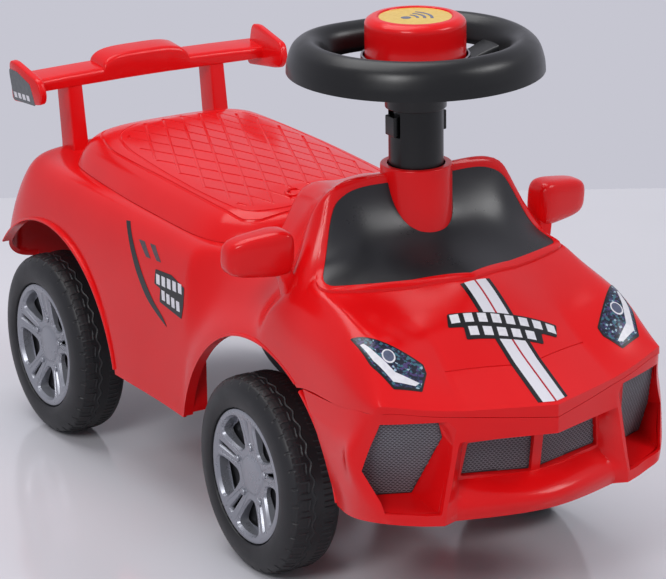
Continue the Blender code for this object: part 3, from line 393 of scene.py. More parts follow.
# %% The shell's sections, from the tail round to the seam above the bumper
BODY_ROWS = [
    # tail, lower edge
    [(114, 304, 80), (110, 312, 80), (102, 317, 80), (88, 319.5, 80), (66, 321, 80),
     (44, 321.8, 80), (22, 321.9, 80), (0, 321.9, 80)],
    # tail, middle
    [(119, 289, 80), (117, 302, 118), (108, 311, 136), (91, 315, 140), (66, 316.5, 141),
     (44, 317, 141), (22, 317, 141), (0, 317, 141)],
    # tail, upper
    [(120.5, 272, 80), (119.5, 288, 124), (113, 298, 160), (97, 303, 177), (70, 304, 180),
     (46, 304, 180), (23, 304, 180), (0, 304, 180)],
    # deck, rear edge
    [(121, 252, 80), (121, 268, 126), (115.5, 278, 174), (101, 283, 203), (75, 286, 210),
     (48, 287, 212), (24, 287, 212), (0, 287, 212)],
    # deck behind the seat
    [(121, 232, 80), (121, 242, 128), (116.5, 252, 180), (103, 258, 207), (80, 262, 210.6),
     (52, 264, 211), (26, 264, 211), (0, 264, 211)],
    # rear axle
    [(121, 195, 80), (120.5, 195, 128), (116.5, 195, 181), (103.5, 195, 208.2), (81, 195, 210),
     (52, 195, 210), (26, 195, 210), (0, 195, 210)],
    # seat, middle
    [(120.5, 110, 80), (119.5, 110, 124), (115, 110, 180), (103, 110, 208.2), (81, 110, 210),
     (52, 110, 210), (26, 110, 210), (0, 110, 210)],
    [(119, 42, 80), (117, 42, 124), (113.5, 42, 180), (102.5, 42, 208.2), (81, 42, 210),
     (52, 42, 210), (26, 42, 210), (0, 42, 210)],
    # door corner
    [(118.6, -3.4, 79), (116, -4.6, 124), (112, -4.6, 183), (103, -6.5, 208.4), (82, -10, 210),
     (54, -12, 210), (27, -12, 210), (0, -12, 210)],
    # leg scoop and foot of the dash wall
    [(117.5, -20, 105), (116, -22, 142), (104, -26, 180), (94, -27, 208.4), (74, -38, 209.4),
     (49, -44.5, 209.6), (24, -47.5, 209.6), (0, -48, 209.6)],
    # leg scoop and top of the dash wall
    [(117.5, -52, 135), (115.5, -52, 160), (102, -53, 183), (88, -55, 208), (62, -54, 216),
     (44, -49, 250), (22, -51, 254), (0, -52, 255)],
    # narrowest place
    [(117.5, -95, 150), (116, -95, 171), (104, -96, 189), (90, -96, 210), (68, -93, 226),
     (50, -92, 261), (25, -93, 267), (0, -93, 268)],
    # mirror and back of the windshield frame
    [(117.5, -118, 150), (117, -118, 173), (111, -121, 194), (97, -125, 214), (84, -124, 240),
     (66, -132, 277), (30, -136, 282), (0, -136, 282)],
    # windshield, upper edge, and rear fold of the front fender
    [(117.5, -127, 150), (117.5, -129, 176), (115.5, -139, 202), (106, -145, 218), (83, -141, 258),
     (66, -144, 275), (30, -144, 279), (0, -144, 279)],
    # windshield, column
    [(118, -150, 148), (118, -153, 174), (115.5, -159, 200), (105, -163, 217), (90, -158, 232),
     (62, -160, 248), (30, -163, 247), (0, -164, 246)],
    # windshield, lower edge
    [(118, -184, 157.4), (118, -184, 174), (115, -184, 198), (104, -184, 216), (96, -181, 222),
     (64, -191, 224), (31, -204, 225.5), (0, -213, 226)],
    # hood
    [(119, -225, 160), (118.5, -225, 175), (115, -228, 193), (101, -231, 208), (79, -235, 207),
     (54, -238, 202), (27, -246, 205), (0, -248, 206)],
    # headlamps and hood step
    [(118.5, -252, 163.5), (118, -252, 173), (114.5, -255, 183), (102, -260, 192),
     (78, -266, 189), (55.6, -269, 182.6), (28, -277, 184), (0, -283.5, 184.5)],
    # lip
    [(116.3, -273, 166.2), (115.6, -275, 169.6), (113.4, -278, 172.3), (105, -282, 171.5),
     (84, -290.5, 168), (59.7, -299.6, 165.6), (30, -311, 165.6), (0, -322, 165.5)],
    # seam to the bumper
    [(116.4, -273, 165.9), (115.7, -275, 166.1), (113.5, -278, 166.8), (105, -282, 167.1),
     (84, -290.5, 163.8), (59.7, -299.6, 161.4), (30, -311, 158.9), (0, -322, 156.8)],
]
CORNER_ROW, WALL_FOOT, STEP_ROW, LIP_ROW = 8, 9, 17, 18
SHOULDER, CREASE, CENTRE = 3, 5, 7


def shell_surface(name, skin=SKIN, lift=0.0):
    """The shell's outer surface as a panel of its own thickness and lift."""
    return cage(
        name, BODY_ROWS,
        row_folds=[(CORNER_ROW, 0, SHOULDER), (WALL_FOOT, CREASE, CENTRE),
                   (STEP_ROW, CREASE, CENTRE), (LIP_ROW, 0, CENTRE)],
        col_folds=[(CREASE, STEP_ROW - 1, LIP_ROW + 1), (CENTRE, STEP_ROW, LIP_ROW + 1)],
        skin=skin, lift=lift,
    )


print("shell rows:", len(BODY_ROWS), "by", len(BODY_ROWS[0]))

# %% The bumper's sections, from under the seam down to the hem
BUMPER_ROWS = [
    # under the seam
    [(118.2, -184, 156.9), (118.8, -225, 159.8), (118.4, -252, 163.8), (116.2, -273.2, 166.2),
     (105, -282, 166.8), (84, -290.6, 163.5), (59.7, -299.7, 161.1), (52, -302.8, 160.4),
     (28, -311.9, 158.4), (0, -322, 156.4)],
    # brow
    [(118.5, -192, 145), (120, -225, 147), (122, -250, 147.5), (121, -267, 148),
     (104, -280.5, 148), (82, -290.8, 146), (63.5, -299.8, 144), (54, -302.5, 144),
     (28, -311.8, 144.6), (0, -322, 145.2)],
    # top of the grille field
    [(119, -200, 138), (121.5, -228, 136), (125, -250, 133), (125.2, -264.5, 131),
     (104, -281, 134), (84, -291, 136), (65.5, -299.3, 137), (55, -290, 140.5),
     (28, -296, 142), (0, -299.5, 143)],
    # foot of the grille field
    [(119, -214, 112), (121.5, -231, 113), (124, -252, 112), (120.4, -273.5, 110),
     (102, -284.5, 110), (86.5, -291.5, 110), (70.5, -298.8, 110), (57, -286.5, 111.5),
     (29, -291, 110), (0, -294.4, 109.5)],
    # chin
    [(118, -219, 98), (120.5, -236, 98), (122, -256, 98.5), (115.8, -279.5, 98),
     (100, -287.5, 96), (87, -292.6, 95.5), (73.5, -298.5, 97), (63, -296.5, 98),
     (31, -307.5, 99), (0, -312.5, 99)],
    # bottom hem
    [(116.5, -222, 86), (119, -239, 85.5), (119.5, -258, 87), (113.5, -280.5, 90),
     (99, -288.5, 88), (87, -293.2, 86.5), (74.8, -297.9, 85.8), (64, -294.5, 86),
     (32, -305, 86.5), (0, -310.5, 87)],
]
STRUT, FIELD_EDGE, MIDDLE, HEM = 6, 7, 9, 5


def bumper_surface(name):
    """The bumper's outer surface, folded round its grille field."""
    return cage(
        name, BUMPER_ROWS,
        row_folds=[(1, STRUT, MIDDLE), (2, FIELD_EDGE, MIDDLE), (3, FIELD_EDGE, MIDDLE)],
        col_folds=[(STRUT, 0, HEM), (FIELD_EDGE, 1, HEM), (MIDDLE, 0, 1)],
    )


print("bumper rows:", len(BUMPER_ROWS), "by", len(BUMPER_ROWS[0]))

# %% [markdown]
# ## Materials
# The car is nearly all polypropylene, which is moulded in its own colour, so the eye sees a
# clean even red with a soft gloss, a faint drift in shade and the fine skin of the mould. A flat
# colour would look like paint on paper, and a photograph of plastic would slide over the shape.
# Noise nodes on Object coordinates keep each pattern at its real size, given in millimetres.

# %% Node helper and colours
def srgb(code):
    """A hex colour as linear light."""
    channels = [int(code[k : k + 2], 16) / 255 for k in (1, 3, 5)]
    return (*[c / 12.92 if c <= 0.04045 else ((c + 0.055) / 1.055) ** 2.4 for c in channels], 1.0)


def add(tree, kind, links=None, values=None, **settings):
    """A node with its settings, its socket values and the sockets that feed it."""
    node = tree.nodes.new(kind)
    for key, value in settings.items():
        setattr(node, key, value)
    for key, value in (values or {}).items():
        node.inputs[key].default_value = value
    for key, source in (links or {}).items():
        tree.links.new(source, node.inputs[key])
    return node


def per_metre(size_mm):
    """The Scale of a pattern whose features are size_mm across, in a scene in metres."""
    return 1.0 / (size_mm * MM)


def empty_material(name):
    """A node material without nodes, and its tree."""
    mat = bpy.data.materials.new(name)
    mat.use_nodes = True
    mat.node_tree.nodes.clear()
    return mat, mat.node_tree


def ramp(tree, factor, stops):
    """A colour ramp from (position, hex) stops."""
    node = add(tree, "ShaderNodeValToRGB", {"Fac": factor})
    while len(node.color_ramp.elements) < len(stops):
        node.color_ramp.elements.new(0.5)
    for element, (position, code) in zip(node.color_ramp.elements, stops):
        element.position = position
        element.color = srgb(code)
    return node


print("a pattern 2 mm across has Scale", per_metre(2.0))

# %% Moulded surface
SCUFF_MM = 24.0  # handled patches of duller gloss, about a thumb wide
SKIN_MM = 0.4  # height of the mould's skin at full strength
METAL_IOR = 1.5


def moulded(name, dark, light, rough, grain_mm, depth, metallic=0.0, drift_mm=110.0, ior=1.45):
    """Injection or blow moulded plastic: shade drift, uneven gloss, fine surface texture."""
    mat, tree = empty_material(name)
    coords = add(tree, "ShaderNodeTexCoord").outputs["Object"]
    slow = add(tree, "ShaderNodeTexNoise", {"Vector": coords},
               {"Scale": per_metre(drift_mm), "Detail": 3.0, "Roughness": 0.55})
    shade = ramp(tree, slow.outputs["Fac"], [(0.3, dark), (0.7, light)])
    fine = add(tree, "ShaderNodeTexNoise", {"Vector": coords},
               {"Scale": per_metre(grain_mm), "Detail": 2.0, "Roughness": 0.6})
    scuffs = add(tree, "ShaderNodeTexNoise", {"Vector": coords},
                 {"Scale": per_metre(SCUFF_MM), "Detail": 6.0, "Roughness": 0.7})
    gloss = add(tree, "ShaderNodeMapRange", {"Value": scuffs.outputs["Fac"]},
                {"From Min": 0.3, "From Max": 0.7, "To Min": rough[0], "To Max": rough[1]})
    bump = add(tree, "ShaderNodeBump", {"Height": fine.outputs["Fac"]},
               {"Strength": depth, "Distance": SKIN_MM * MM})
    shader = add(tree, "ShaderNodeBsdfPrincipled",
                 {"Base Color": shade.outputs["Color"], "Roughness": gloss.outputs["Result"],
                  "Normal": bump.outputs["Normal"]},
                 {"Metallic": metallic, "IOR": METAL_IOR if metallic else ior})
    add(tree, "ShaderNodeOutputMaterial", {"Surface": shader.outputs["BSDF"]})
    return mat


print("moulded surface ready")

# %% Plastics and steel
# A real mould's skin is 0.02 to 0.1 mm fine and could not show here, so the grains below are
# drawn coarser, at 0.3 to 1 mm, and shallow.
# Polished mould, glossy polypropylene: clean red with sharp highlights.
RED = moulded("red_polypropylene", "#DC0C10", "#E41418", rough=(0.15, 0.24), grain_mm=0.67,
              depth=0.03, ior=1.35)
# Spark eroded mould, satin polypropylene: the wheel and column stay dark with broad highlights.
BLACK = moulded("satin_black_polypropylene", "#060607", "#0B0C0D", rough=(0.26, 0.36),
                grain_mm=0.38, depth=0.08)
# Blow moulded polyethylene of the wheels: duller and slightly waxy.
TYRE = moulded("blow_moulded_black", "#121214", "#1C1C1F", rough=(0.40, 0.52), grain_mm=0.53,
               depth=0.12)
# Grey plastic with metal flake in it, for the wheel covers: a soft silver sheen.
GREY = moulded("silver_grey_plastic", "#8D8F97", "#9C9EA6", rough=(0.24, 0.34), grain_mm=0.28,
               depth=0.05, metallic=0.5)
# Moulded black of the windshield panel: dark, with one broad grey sheen.
PANEL = moulded("satin_black_panel", "#1B1B1E", "#242427", rough=(0.26, 0.34), grain_mm=1.1,
                depth=0.02)
# Dark grey backing of the mesh inserts and their lighter raised wires, both matt.
MESH_BACK = moulded("insert_backing", "#2F2D31", "#3E3B40", rough=(0.42, 0.55), grain_mm=0.83,
                    depth=0.1)
MESH_WIRE = moulded("insert_wire", "#75757B", "#8C8C93", rough=(0.35, 0.5), grain_mm=0.5,
                    depth=0.08)
# Zinc plated steel of the rods, screws and nuts: bright, with a faint mottle.
STEEL = moulded("zinc_plated_steel", "#A4A7AC", "#C2C5C9", rough=(0.22, 0.38), grain_mm=0.33,
                depth=0.05, metallic=1.0, drift_mm=17.0)
print("materials:", len(bpy.data.materials))

# %% [markdown]
# ## Stickers
# The lines and badges are printed vinyl film, cut to shape and pressed onto the plastic. They
# could be painted in the shell's own nodes, but then their edges would blur, so each is a thin
# sheet of its own, and only its ink is made of nodes.

# %% Printed stickers
HAZE_MM = 8.3  # slow unevenness of the film's gloss
MOTTLE_MM = 3.3  # unevenness of the printed ink


def printed(name, rough=0.22):
    """A sticker: returns the material, its tree and a shader waiting for a colour."""
    mat, tree = empty_material(name)
    coords = add(tree, "ShaderNodeTexCoord").outputs["Object"]
    haze = add(tree, "ShaderNodeTexNoise", {"Vector": coords},
               {"Scale": per_metre(HAZE_MM), "Detail": 4.0})
    gloss = add(tree, "ShaderNodeMapRange", {"Value": haze.outputs["Fac"]},
                {"To Min": rough - 0.06, "To Max": rough + 0.08})
    shader = add(tree, "ShaderNodeBsdfPrincipled", {"Roughness": gloss.outputs["Result"]},
                 {"IOR": 1.45})
    add(tree, "ShaderNodeOutputMaterial", {"Surface": shader.outputs["BSDF"]})
    return mat, tree, coords, shader


def plain_print(name, dark, light):
    """One printed ink with a faint unevenness."""
    mat, tree, coords, shader = printed(name)
    noise = add(tree, "ShaderNodeTexNoise", {"Vector": coords},
                {"Scale": per_metre(MOTTLE_MM), "Detail": 3.0})
    ink = ramp(tree, noise.outputs["Fac"], [(0.35, dark), (0.65, light)])
    tree.links.new(ink.outputs["Color"], shader.inputs["Base Color"])
    return mat


def striped_print(name, half_mm):
    """Bands by distance from the centreline: red thread, white, black edge."""
    mat, tree, coords, shader = printed(name)
    x = add(tree, "ShaderNodeSeparateXYZ", {"Vector": coords}).outputs["X"]
    reach = add(tree, "ShaderNodeMath", {0: x}, operation="ABSOLUTE").outputs["Value"]
    across = add(tree, "ShaderNodeMath", {0: reach}, {1: half_mm * MM}, operation="DIVIDE")
    bands = ramp(tree, across.outputs["Value"],
                 [(0.0, "#B0182E"), (0.06, "#DEDCE4"), (0.74, "#121214")])
    bands.color_ramp.interpolation = "CONSTANT"
    tree.links.new(bands.outputs["Color"], shader.inputs["Base Color"])
    return mat


print("ink helpers ready")

# %% The inks
# Glossy cut vinyl: flat, even inks with a faint mottle and sharp reflections. They are black,
# white, the yellow of the horn's disc, slate, and the two greys of the door and the wing.
INK_BLACK = plain_print("sticker_black", "#0E0E10", "#141417")
INK_WHITE = plain_print("sticker_white", "#DAD8E0", "#E6E4EA")
INK_YELLOW = plain_print("sticker_yellow", "#D9B244", "#E2BD50")
INK_SLATE = plain_print("sticker_slate", "#50566E", "#5C627A")
INK_GREY_DARK = plain_print("sticker_dark_grey", "#4A3A3E", "#55444A")
FIELD_GREY = plain_print("wing_field_grey", "#4B4E52", "#55585C")
STRIPE_HALF = 11.8
STRIPES = striped_print("sticker_stripes", STRIPE_HALF)
print("stripe width in millimetres:", 2 * STRIPE_HALF)

# %% Lamp print
FLECK_MM = 1.6  # one printed facet of the lamp


def lamp_print(name):
    """Foil print of a lamp: small blue, violet and pale facets."""
    mat, tree, coords, shader = printed(name, 0.14)
    cells = add(tree, "ShaderNodeTexVoronoi", {"Vector": coords}, {"Scale": per_metre(FLECK_MM)})
    tint = add(tree, "ShaderNodeSeparateColor", {"Color": cells.outputs["Color"]})
    flecks = ramp(tree, tint.outputs["Red"],
                  [(0.0, "#1A1C2E"), (0.4, "#2A3350"), (0.62, "#3D6A7A"), (0.8, "#4B3C6E"),
                   (0.95, "#9DB6C8")])
    flecks.color_ramp.interpolation = "CONSTANT"
    tree.links.new(flecks.outputs["Color"], shader.inputs["Base Color"])
    return mat


LAMP_GLASS = lamp_print("sticker_lamp_glass")
print("materials:", len(bpy.data.materials))

# %% [markdown]
# ## Camera
# The photo was taken from the car's front right, from a little above and with a long lens. A
# camera can be matched by eye, but then nothing can be measured with it. This one was solved from
# the wheel circles and the corners of the body, so a pixel of the photo gives a ray in the scene.

# %% Camera
AZIMUTH, ELEVATION, ROLL = (math.radians(a) for a in (-29.8997, 18.3516, -0.8504))
CAMERA_M = (-1.14944, -2.02095, 0.92743)
SENSOR_MM, LENS_MM = 36.0, 176.592
back = Vector((math.sin(AZIMUTH) * math.cos(ELEVATION), -math.cos(AZIMUTH) * math.cos(ELEVATION),
               math.sin(ELEVATION)))
right = Vector((math.cos(AZIMUTH), math.sin(AZIMUTH), 0))
up = back.cross(right)
across = math.cos(ROLL) * right + math.sin(ROLL) * up
upward = -math.sin(ROLL) * right + math.cos(ROLL) * up
lens = bpy.data.cameras.new("camera")
lens.sensor_fit = "HORIZONTAL"
lens.sensor_width = SENSOR_MM
lens.lens = LENS_MM
camera = bpy.data.objects.new("camera", lens)
bpy.context.scene.collection.objects.link(camera)
turn = Matrix((across, upward, back)).transposed().to_4x4()
camera.matrix_world = Matrix.Translation(CAMERA_M) @ turn
bpy.context.scene.camera = camera
print("camera at", tuple(round(c, 3) for c in camera.location))

# %% [markdown]
# ## Room and light
# The car stands on a pale glossy table in a white room. The floor is one sheet that ends behind
# the car, and beyond it the world shows a pale grey. A bright world would also wash out the red,
# so the world shows that grey only to the camera, in reflections and through glass, and lights
# the plastic with a weaker one. Three broad soft lamps stand for the room's lamps. They hang
# high, so that the glossy floor doesn't mirror them into the views from other sides.

# %% Floor
FLOOR_BACK_MM, FLOOR_REACH_MM, FLOOR_Z = 775.0, 2600.0, -0.3
CLOUD_MM = 330.0  # slow drift in the table's shade
floor_mat, tree = empty_material("pale_glossy_floor")
coords = add(tree, "ShaderNodeTexCoord").outputs["Object"]
cloud = add(tree, "ShaderNodeTexNoise", {"Vector": coords},
            {"Scale": per_metre(CLOUD_MM), "Detail": 3.0})
tone = ramp(tree, cloud.outputs["Fac"], [(0.35, "#DAD9E0"), (0.65, "#DEDDE4")])
shader = add(tree, "ShaderNodeBsdfPrincipled", {"Base Color": tone.outputs["Color"]},
             {"Roughness": 0.13, "IOR": 1.5})
add(tree, "ShaderNodeOutputMaterial", {"Surface": shader.outputs["BSDF"]})
floor = mesh_object("floor", [(x, y, FLOOR_Z) for x, y in (
    (-FLOOR_REACH_MM, -FLOOR_REACH_MM), (FLOOR_REACH_MM, -FLOOR_REACH_MM),
    (FLOOR_REACH_MM, FLOOR_BACK_MM), (-FLOOR_REACH_MM, FLOOR_BACK_MM))], [(0, 1, 2, 3)])
floor.data.materials.append(floor_mat)
place(floor, Matrix.Rotation(AZIMUTH, 4, "Z"))
print("floor ends", FLOOR_BACK_MM, "mm behind the middle of the car")

# %% World
SHOWN_STRENGTH, FILL_STRENGTH = 1.0, 0.42  # a strength of 1 shows the colour as written
bpy.context.scene.view_settings.view_transform = "Standard"
world = bpy.data.worlds.new("studio")
bpy.context.scene.world = world
world.use_nodes = True
world.node_tree.nodes.clear()
tree = world.node_tree
path = add(tree, "ShaderNodeLightPath")
seen = add(tree, "ShaderNodeBackground",
           values={"Color": srgb("#C6C6D1"), "Strength": SHOWN_STRENGTH})
lit = add(tree, "ShaderNodeBackground",
          values={"Color": srgb("#E4E6EE"), "Strength": FILL_STRENGTH})
shown = path.outputs["Is Camera Ray"]
for ray in ("Is Glossy Ray", "Is Transmission Ray"):
    shown = add(tree, "ShaderNodeMath", {0: shown, 1: path.outputs[ray]},
                operation="MAXIMUM").outputs["Value"]
mix = add(tree, "ShaderNodeMixShader", {"Fac": shown, 1: lit.outputs["Background"],
                                        2: seen.outputs["Background"]})
add(tree, "ShaderNodeOutputWorld", {"Surface": mix.outputs["Shader"]})
print("world nodes:", len(tree.nodes))


# %% Lamps
def soft_light(name, place_m, toward_m, size, size_y, watts):
    """A soft rectangular lamp; left and right in its name are as the camera sees them."""
    light = bpy.data.lights.new(name, "AREA")
    light.shape = "RECTANGLE"
    light.size, light.size_y, light.energy = size, size_y, watts
    obj = bpy.data.objects.new(name, light)
    bpy.context.scene.collection.objects.link(obj)
    obj.location = place_m
    obj.rotation_euler = (Vector(toward_m) - Vector(place_m)).to_track_quat("-Z", "Y").to_euler()


soft_light("overhead", (-0.2, 0.5, 2.0), (0, 0.0, 0.1), 1.6, 1.2, 19)
soft_light("front_left", (-1.85, -1.5, 2.0), (0, -0.05, 0.15), 1.0, 1.0, 31)
soft_light("right_fill", (1.5, -1.3, 1.9), (0, 0, 0.15), 1.0, 0.8, 17)
print("lamps:", len(bpy.data.lights))

# %% [markdown]
# ## Pieces
# The imported solids already carry the joints. A visual piece only needs its material, the body it
# moves with and the solids it stands for, which are then hidden, so one call does all three.

# %% Handing over a piece
def piece(obj, mat, body, slot, *solids):
    """Gives a piece its material and its body, and hides the solids it stands for; slot is not
    used.
    """
    obj.data.materials.clear()
    obj.data.materials.append(mat)
    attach(obj, body)
    if solids:
        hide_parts(*solids)


# %% [markdown]
# ## Shell
# The body is one injection moulding about 2.5 mm thick. A block with rounded edges would miss
# its folds, and sculpting could not be repeated, so its skin is the panel through measured
# points from above. It is united with the column sleeve, the windshield bead, the arch lips and
# the hinge ears, and then cut by the arches, the sleeve's bore, the mouth under the seat and a
# fine groove along the hood's fold.

# %% Outlines on the shell
PANE = both_sides([(0, -213.0)] + smooth_loop(
    [(40, -201.5), (84, -183.5), (93, -176.5), (91.5, -167), (82, -156), (72, -147.5),
     (60, -145.2), (40, -144.8)], 8, closed=False) + [(0, -144.8)])
LID_HALF = [
    (0, 264.0), (30, 263.2), (54, 259.5), (71, 251), (81.5, 238), (87.5, 219), (92, 171),
    (94.5, 121), (94.8, 61), (94, 21), (89, -3), (76, -20), (60, -31), (42, -37.5), (20, -40),
    (0, -40.5),
]
LID = both_sides(LID_HALF)
fold_left = [(0, -284.2), (11.8, -282.6), (55.8, -268.8)]
HOOD_FOLD = [(-x, y) for x, y in reversed(fold_left[1:])] + fold_left
HOOD_FOLD += [(x, y + 1.0) for x, y in reversed(HOOD_FOLD)]
print("outline points:", len(PANE), "pane,", len(LID), "lid,", len(HOOD_FOLD), "hood fold")


# %% Arch lips and arch cuts
LIP_IN, LIP_OUT, LIP_STEP_DEG = ARCH_R - 6, ARCH_R + 2.0, 1.5
DRUM_STEPS = 192


def arch_lip(name, centre, side, x1, x2, a1, a2):
    """A rolled lip round a wheel arch, rounded on its outer corners."""
    x1, x2 = side * x1, side * x2
    section = fillet([(x1, LIP_IN), (x2, LIP_IN), (x2, LIP_OUT), (x1, LIP_OUT)],
                     [0, 0.8, 1.6, 0], 3)
    steps = round(abs(a2 - a1) / LIP_STEP_DEG)
    return loft(name, [
        [(x, centre + r * math.cos(a), ARCH_Z + r * math.sin(a)) for x, r in section]
        for a in (math.radians(a1 + (a2 - a1) * k / steps) for k in range(steps + 1))])


def arch_drum(name, centre, side):
    """The cylinder that clears a wheel arch, half a facet turned against the lip."""
    ring = [(centre + ARCH_R * math.cos(math.tau * (k + 0.5) / DRUM_STEPS),
             ARCH_Z + ARCH_R * math.sin(math.tau * (k + 0.5) / DRUM_STEPS))
            for k in range(DRUM_STEPS)]
    return bar_x(name, ring, *sorted((side * 84.0, side * 140.0)))


print("arch helpers ready")

# %% What joins the shell
shell = shell_surface("shell_moulding")
joins = [place(turned("sleeve", fillet(
    [(SLEEVE_BORE - 0.4, SLEEVE_FOOT), (SLEEVE_R, SLEEVE_FOOT), (SLEEVE_R, SLEEVE_TOP),
     (SLEEVE_BORE - 0.4, SLEEVE_TOP)], [0, 0.5, 1.2, 1.0]), 96), ON_COLUMN)]
bead = shell_surface("bead", skin=3.4, lift=2.0)
carve(bead, [prism("bead_edge", inset(PANE, -4.6), 190, 310)], "INTERSECT")
carve(bead, [prism("bead_hole", inset(PANE, 0.3), 185, 315)])
modifier(bead, "BEVEL", width=0.7 * MM, segments=2, limit_method="ANGLE",
         angle_limit=math.radians(50))
joins.append(settle(bead))
WEB = [(99, 82), (117.4, 82), (114.8, 126), (112.0, 168), (99, 168)]
EAR = fillet([(265.4, 208.5), (272, 208.5), (272, 217.4), (265.4, 217.4)], [0, 0, 3, 3])
for side, label in SIDES:
    joins += [
        arch_lip(f"lip_front_{label}", FRONT_AXLE_Y, side, 110.7, 118.6, 12, 119),
        arch_lip(f"lip_rear_{label}", REAR_AXLE_Y, side, 113.3, 121.9, 43, 166),
        bar_y(f"web_{label}", WEB, -5.2, -2.8, side),
        prism(f"boss_{label}", disc(side * 80, -261.5, 4.6, 24), 158.6, 188)]
    joins += [bar_x(f"ear_{label}", EAR, x1, x2, side) for x1, x2 in ((30.6, 33.9), (44.1, 47.4))]
carve(shell, joins, "UNION")
print("shell with its joins:", len(shell.data.polygons), "faces")

# %% What cuts the shell
cuts = [place(turned("sleeve_bore", [(0, 90), (SLEEVE_BORE, 90), (SLEEVE_BORE, 300), (0, 300)]),
              ON_COLUMN)]
for side, label in SIDES:
    cuts += [arch_drum(f"arch_{label}", centre, side) for centre in (FRONT_AXLE_Y, REAR_AXLE_Y)]
    cuts.append(bar_x(f"slot_{label}", [(263.2, 200), (273.6, 200), (273.6, 225), (263.2, 225)],
                      33.6, 44.4, side))
groove = shell_surface("hood_groove", skin=1.0, lift=0.45)
cuts.append(carve(groove, [prism("groove_line", HOOD_FOLD, 150, 310)], "INTERSECT"))
cuts.append(prism("seat_mouth", inset(smooth_loop(LID, 3), 14.4), 195, 222))
cuts.append(prism("seat_pad", inset(smooth_loop(LID, 3), -0.8), DECK_Z + 0.1, 240))
carve(shell, cuts, smooth=32)
piece(shell, RED, "shell", "red_plastic", "body_shell")
print("shell faces:", len(shell.data.polygons))

# %% [markdown]
# ## Windshield and flat stickers on the shell
# The windshield is a thin black panel in a raised bead, and the stickers are vinyl pressed onto
# the plastic. A flat sheet would cut into the curved shell or float over it. So each one is a
# patch of the shell's own surface, lifted a little and trimmed to an outline, which is drawn in
# plan for the hood and in side view for the doors.

# %% Windshield panel
def on_shell(name, outline, lift, skin=0.2):
    """A thin patch of the shell's surface inside a plan outline."""
    patch = shell_surface(name, skin=skin, lift=lift)
    return carve(patch, [prism("patch_edge", outline, 150, 310)], "INTERSECT", smooth=40)


pane = on_shell("windshield", inset(PANE, 0.5), 1.6, 0.9)
carve(pane, [place(turned("pane_hole", [(0, 190), (SLEEVE_R + 0.3, 190), (SLEEVE_R + 0.3, 310),
                                        (0, 310)]), ON_COLUMN)], smooth=40)
piece(pane, PANEL, "shell", "panel_black", "windshield_panel")
print("windshield faces:", len(pane.data.polygons))

# %% Hood stripe and plaque
UNDER_LIFT, INK_LIFT, TOP_LIFT = 0.35, 0.5, 0.6  # the vinyl layers over each other
stripe = on_shell("hood_stripe", [
    (-STRIPE_HALF, -218), (STRIPE_HALF, -218), (STRIPE_HALF, -315), (0, -319),
    (-STRIPE_HALF, -315)], UNDER_LIFT)
piece(stripe, STRIPES, "shell", "red_plastic")
PLAQUE = [(-33.5, -235.0), (-19.0, -240.0), (6.2, -247.2), (41.0, -257.6), (35.5, -266.8),
          (24.5, -264.0), (21.5, -271.8), (-31.0, -256.6), (-28.0, -248.0), (-38.0, -244.0)]
piece(on_shell("hood_plaque", fillet(PLAQUE, 1.2, 2), INK_LIFT), INK_BLACK, "shell",
      "red_plastic")
print("stripe and plaque on")

# %% Plain bars on the plaque
SLOPE, BAR_SHARE, BAR_HALF, BAR_LEAN = 0.31, 0.32, 3.1, 0.9


def plaque_bar(x, y, half_x):
    """A slanted bar in plan, its ends following the plaque's slope."""
    drop = half_x * SLOPE
    return [(x - half_x - BAR_LEAN, y - BAR_HALF + drop),
            (x + half_x - BAR_LEAN, y - BAR_HALF - drop),
            (x + half_x + BAR_LEAN, y + BAR_HALF - drop),
            (x - half_x + BAR_LEAN, y + BAR_HALF + drop)]


for row, (count, first, step, y) in enumerate(((8, -30.5, 9.3, -240.4), (5, -23.0, 9.6, -252.9))):
    for k in range(count):
        outline = plaque_bar(first + k * step, y - k * step * SLOPE, step * BAR_SHARE)
        bar = on_shell(f"plaque_bar_{row + 1}_{k + 1}", outline, TOP_LIFT)
        piece(bar, INK_WHITE, "shell", "red_plastic")
    print("plaque row", row + 1, "has", count, "bars")

# %% [markdown]
# ## Headlamps
# The toy's lamps are foil stickers too: a black border, glittering facets, a white bar and a
# round lens. They could be glass lenses over reflectors, but those would look deeper than they
# are on the toy. So flat layers are stacked less than a tenth of a millimetre apart, and the
# facets come from the print's nodes.

# %% Headlamp stickers
LAMP = [(107.0, -230.0), (70.6, -264.5), (71.4, -270.2), (81.0, -280.2), (99.4, -273.8),
        (106.4, -255.5)]
LAMP_BAR = [(105.2, -240.0), (103.6, -254.5), (97.6, -270.4), (84.0, -276.4), (80.2, -275.4),
            (93.6, -266.0), (99.2, -253.0), (103.0, -241.0)]
LENS = (92.5, -256.0)
layers = [
    ("lamp_border", INK_BLACK, fillet(LAMP, [1.0, 0.8, 0.8, 0.8, 1.0, 2.0], 2), 0.40),
    ("lamp_glass", LAMP_GLASS, inset(LAMP, 1.3), 0.48),
    ("lamp_bar", INK_WHITE, LAMP_BAR, 0.56),
    ("lamp_ring", INK_WHITE, disc(*LENS, 4.6), 0.56),
    ("lamp_lens", INK_SLATE, disc(*LENS, 3.6), 0.64),
]
for name, mat, outline, lift in layers:
    left = on_shell(f"{name}_left", outline, lift)
    for obj in (left, twin(left, f"{name}_right")):
        piece(obj, mat, "shell", "red_plastic")
print("headlamp layers:", len(layers))

# %% [markdown]
# ## Door stickers
# On each door a long black curve follows the rear fender, with two grey dashes and a dark badge.
# The outlines are drawn in side view as (y, z) and cut from the shell's side the same way.

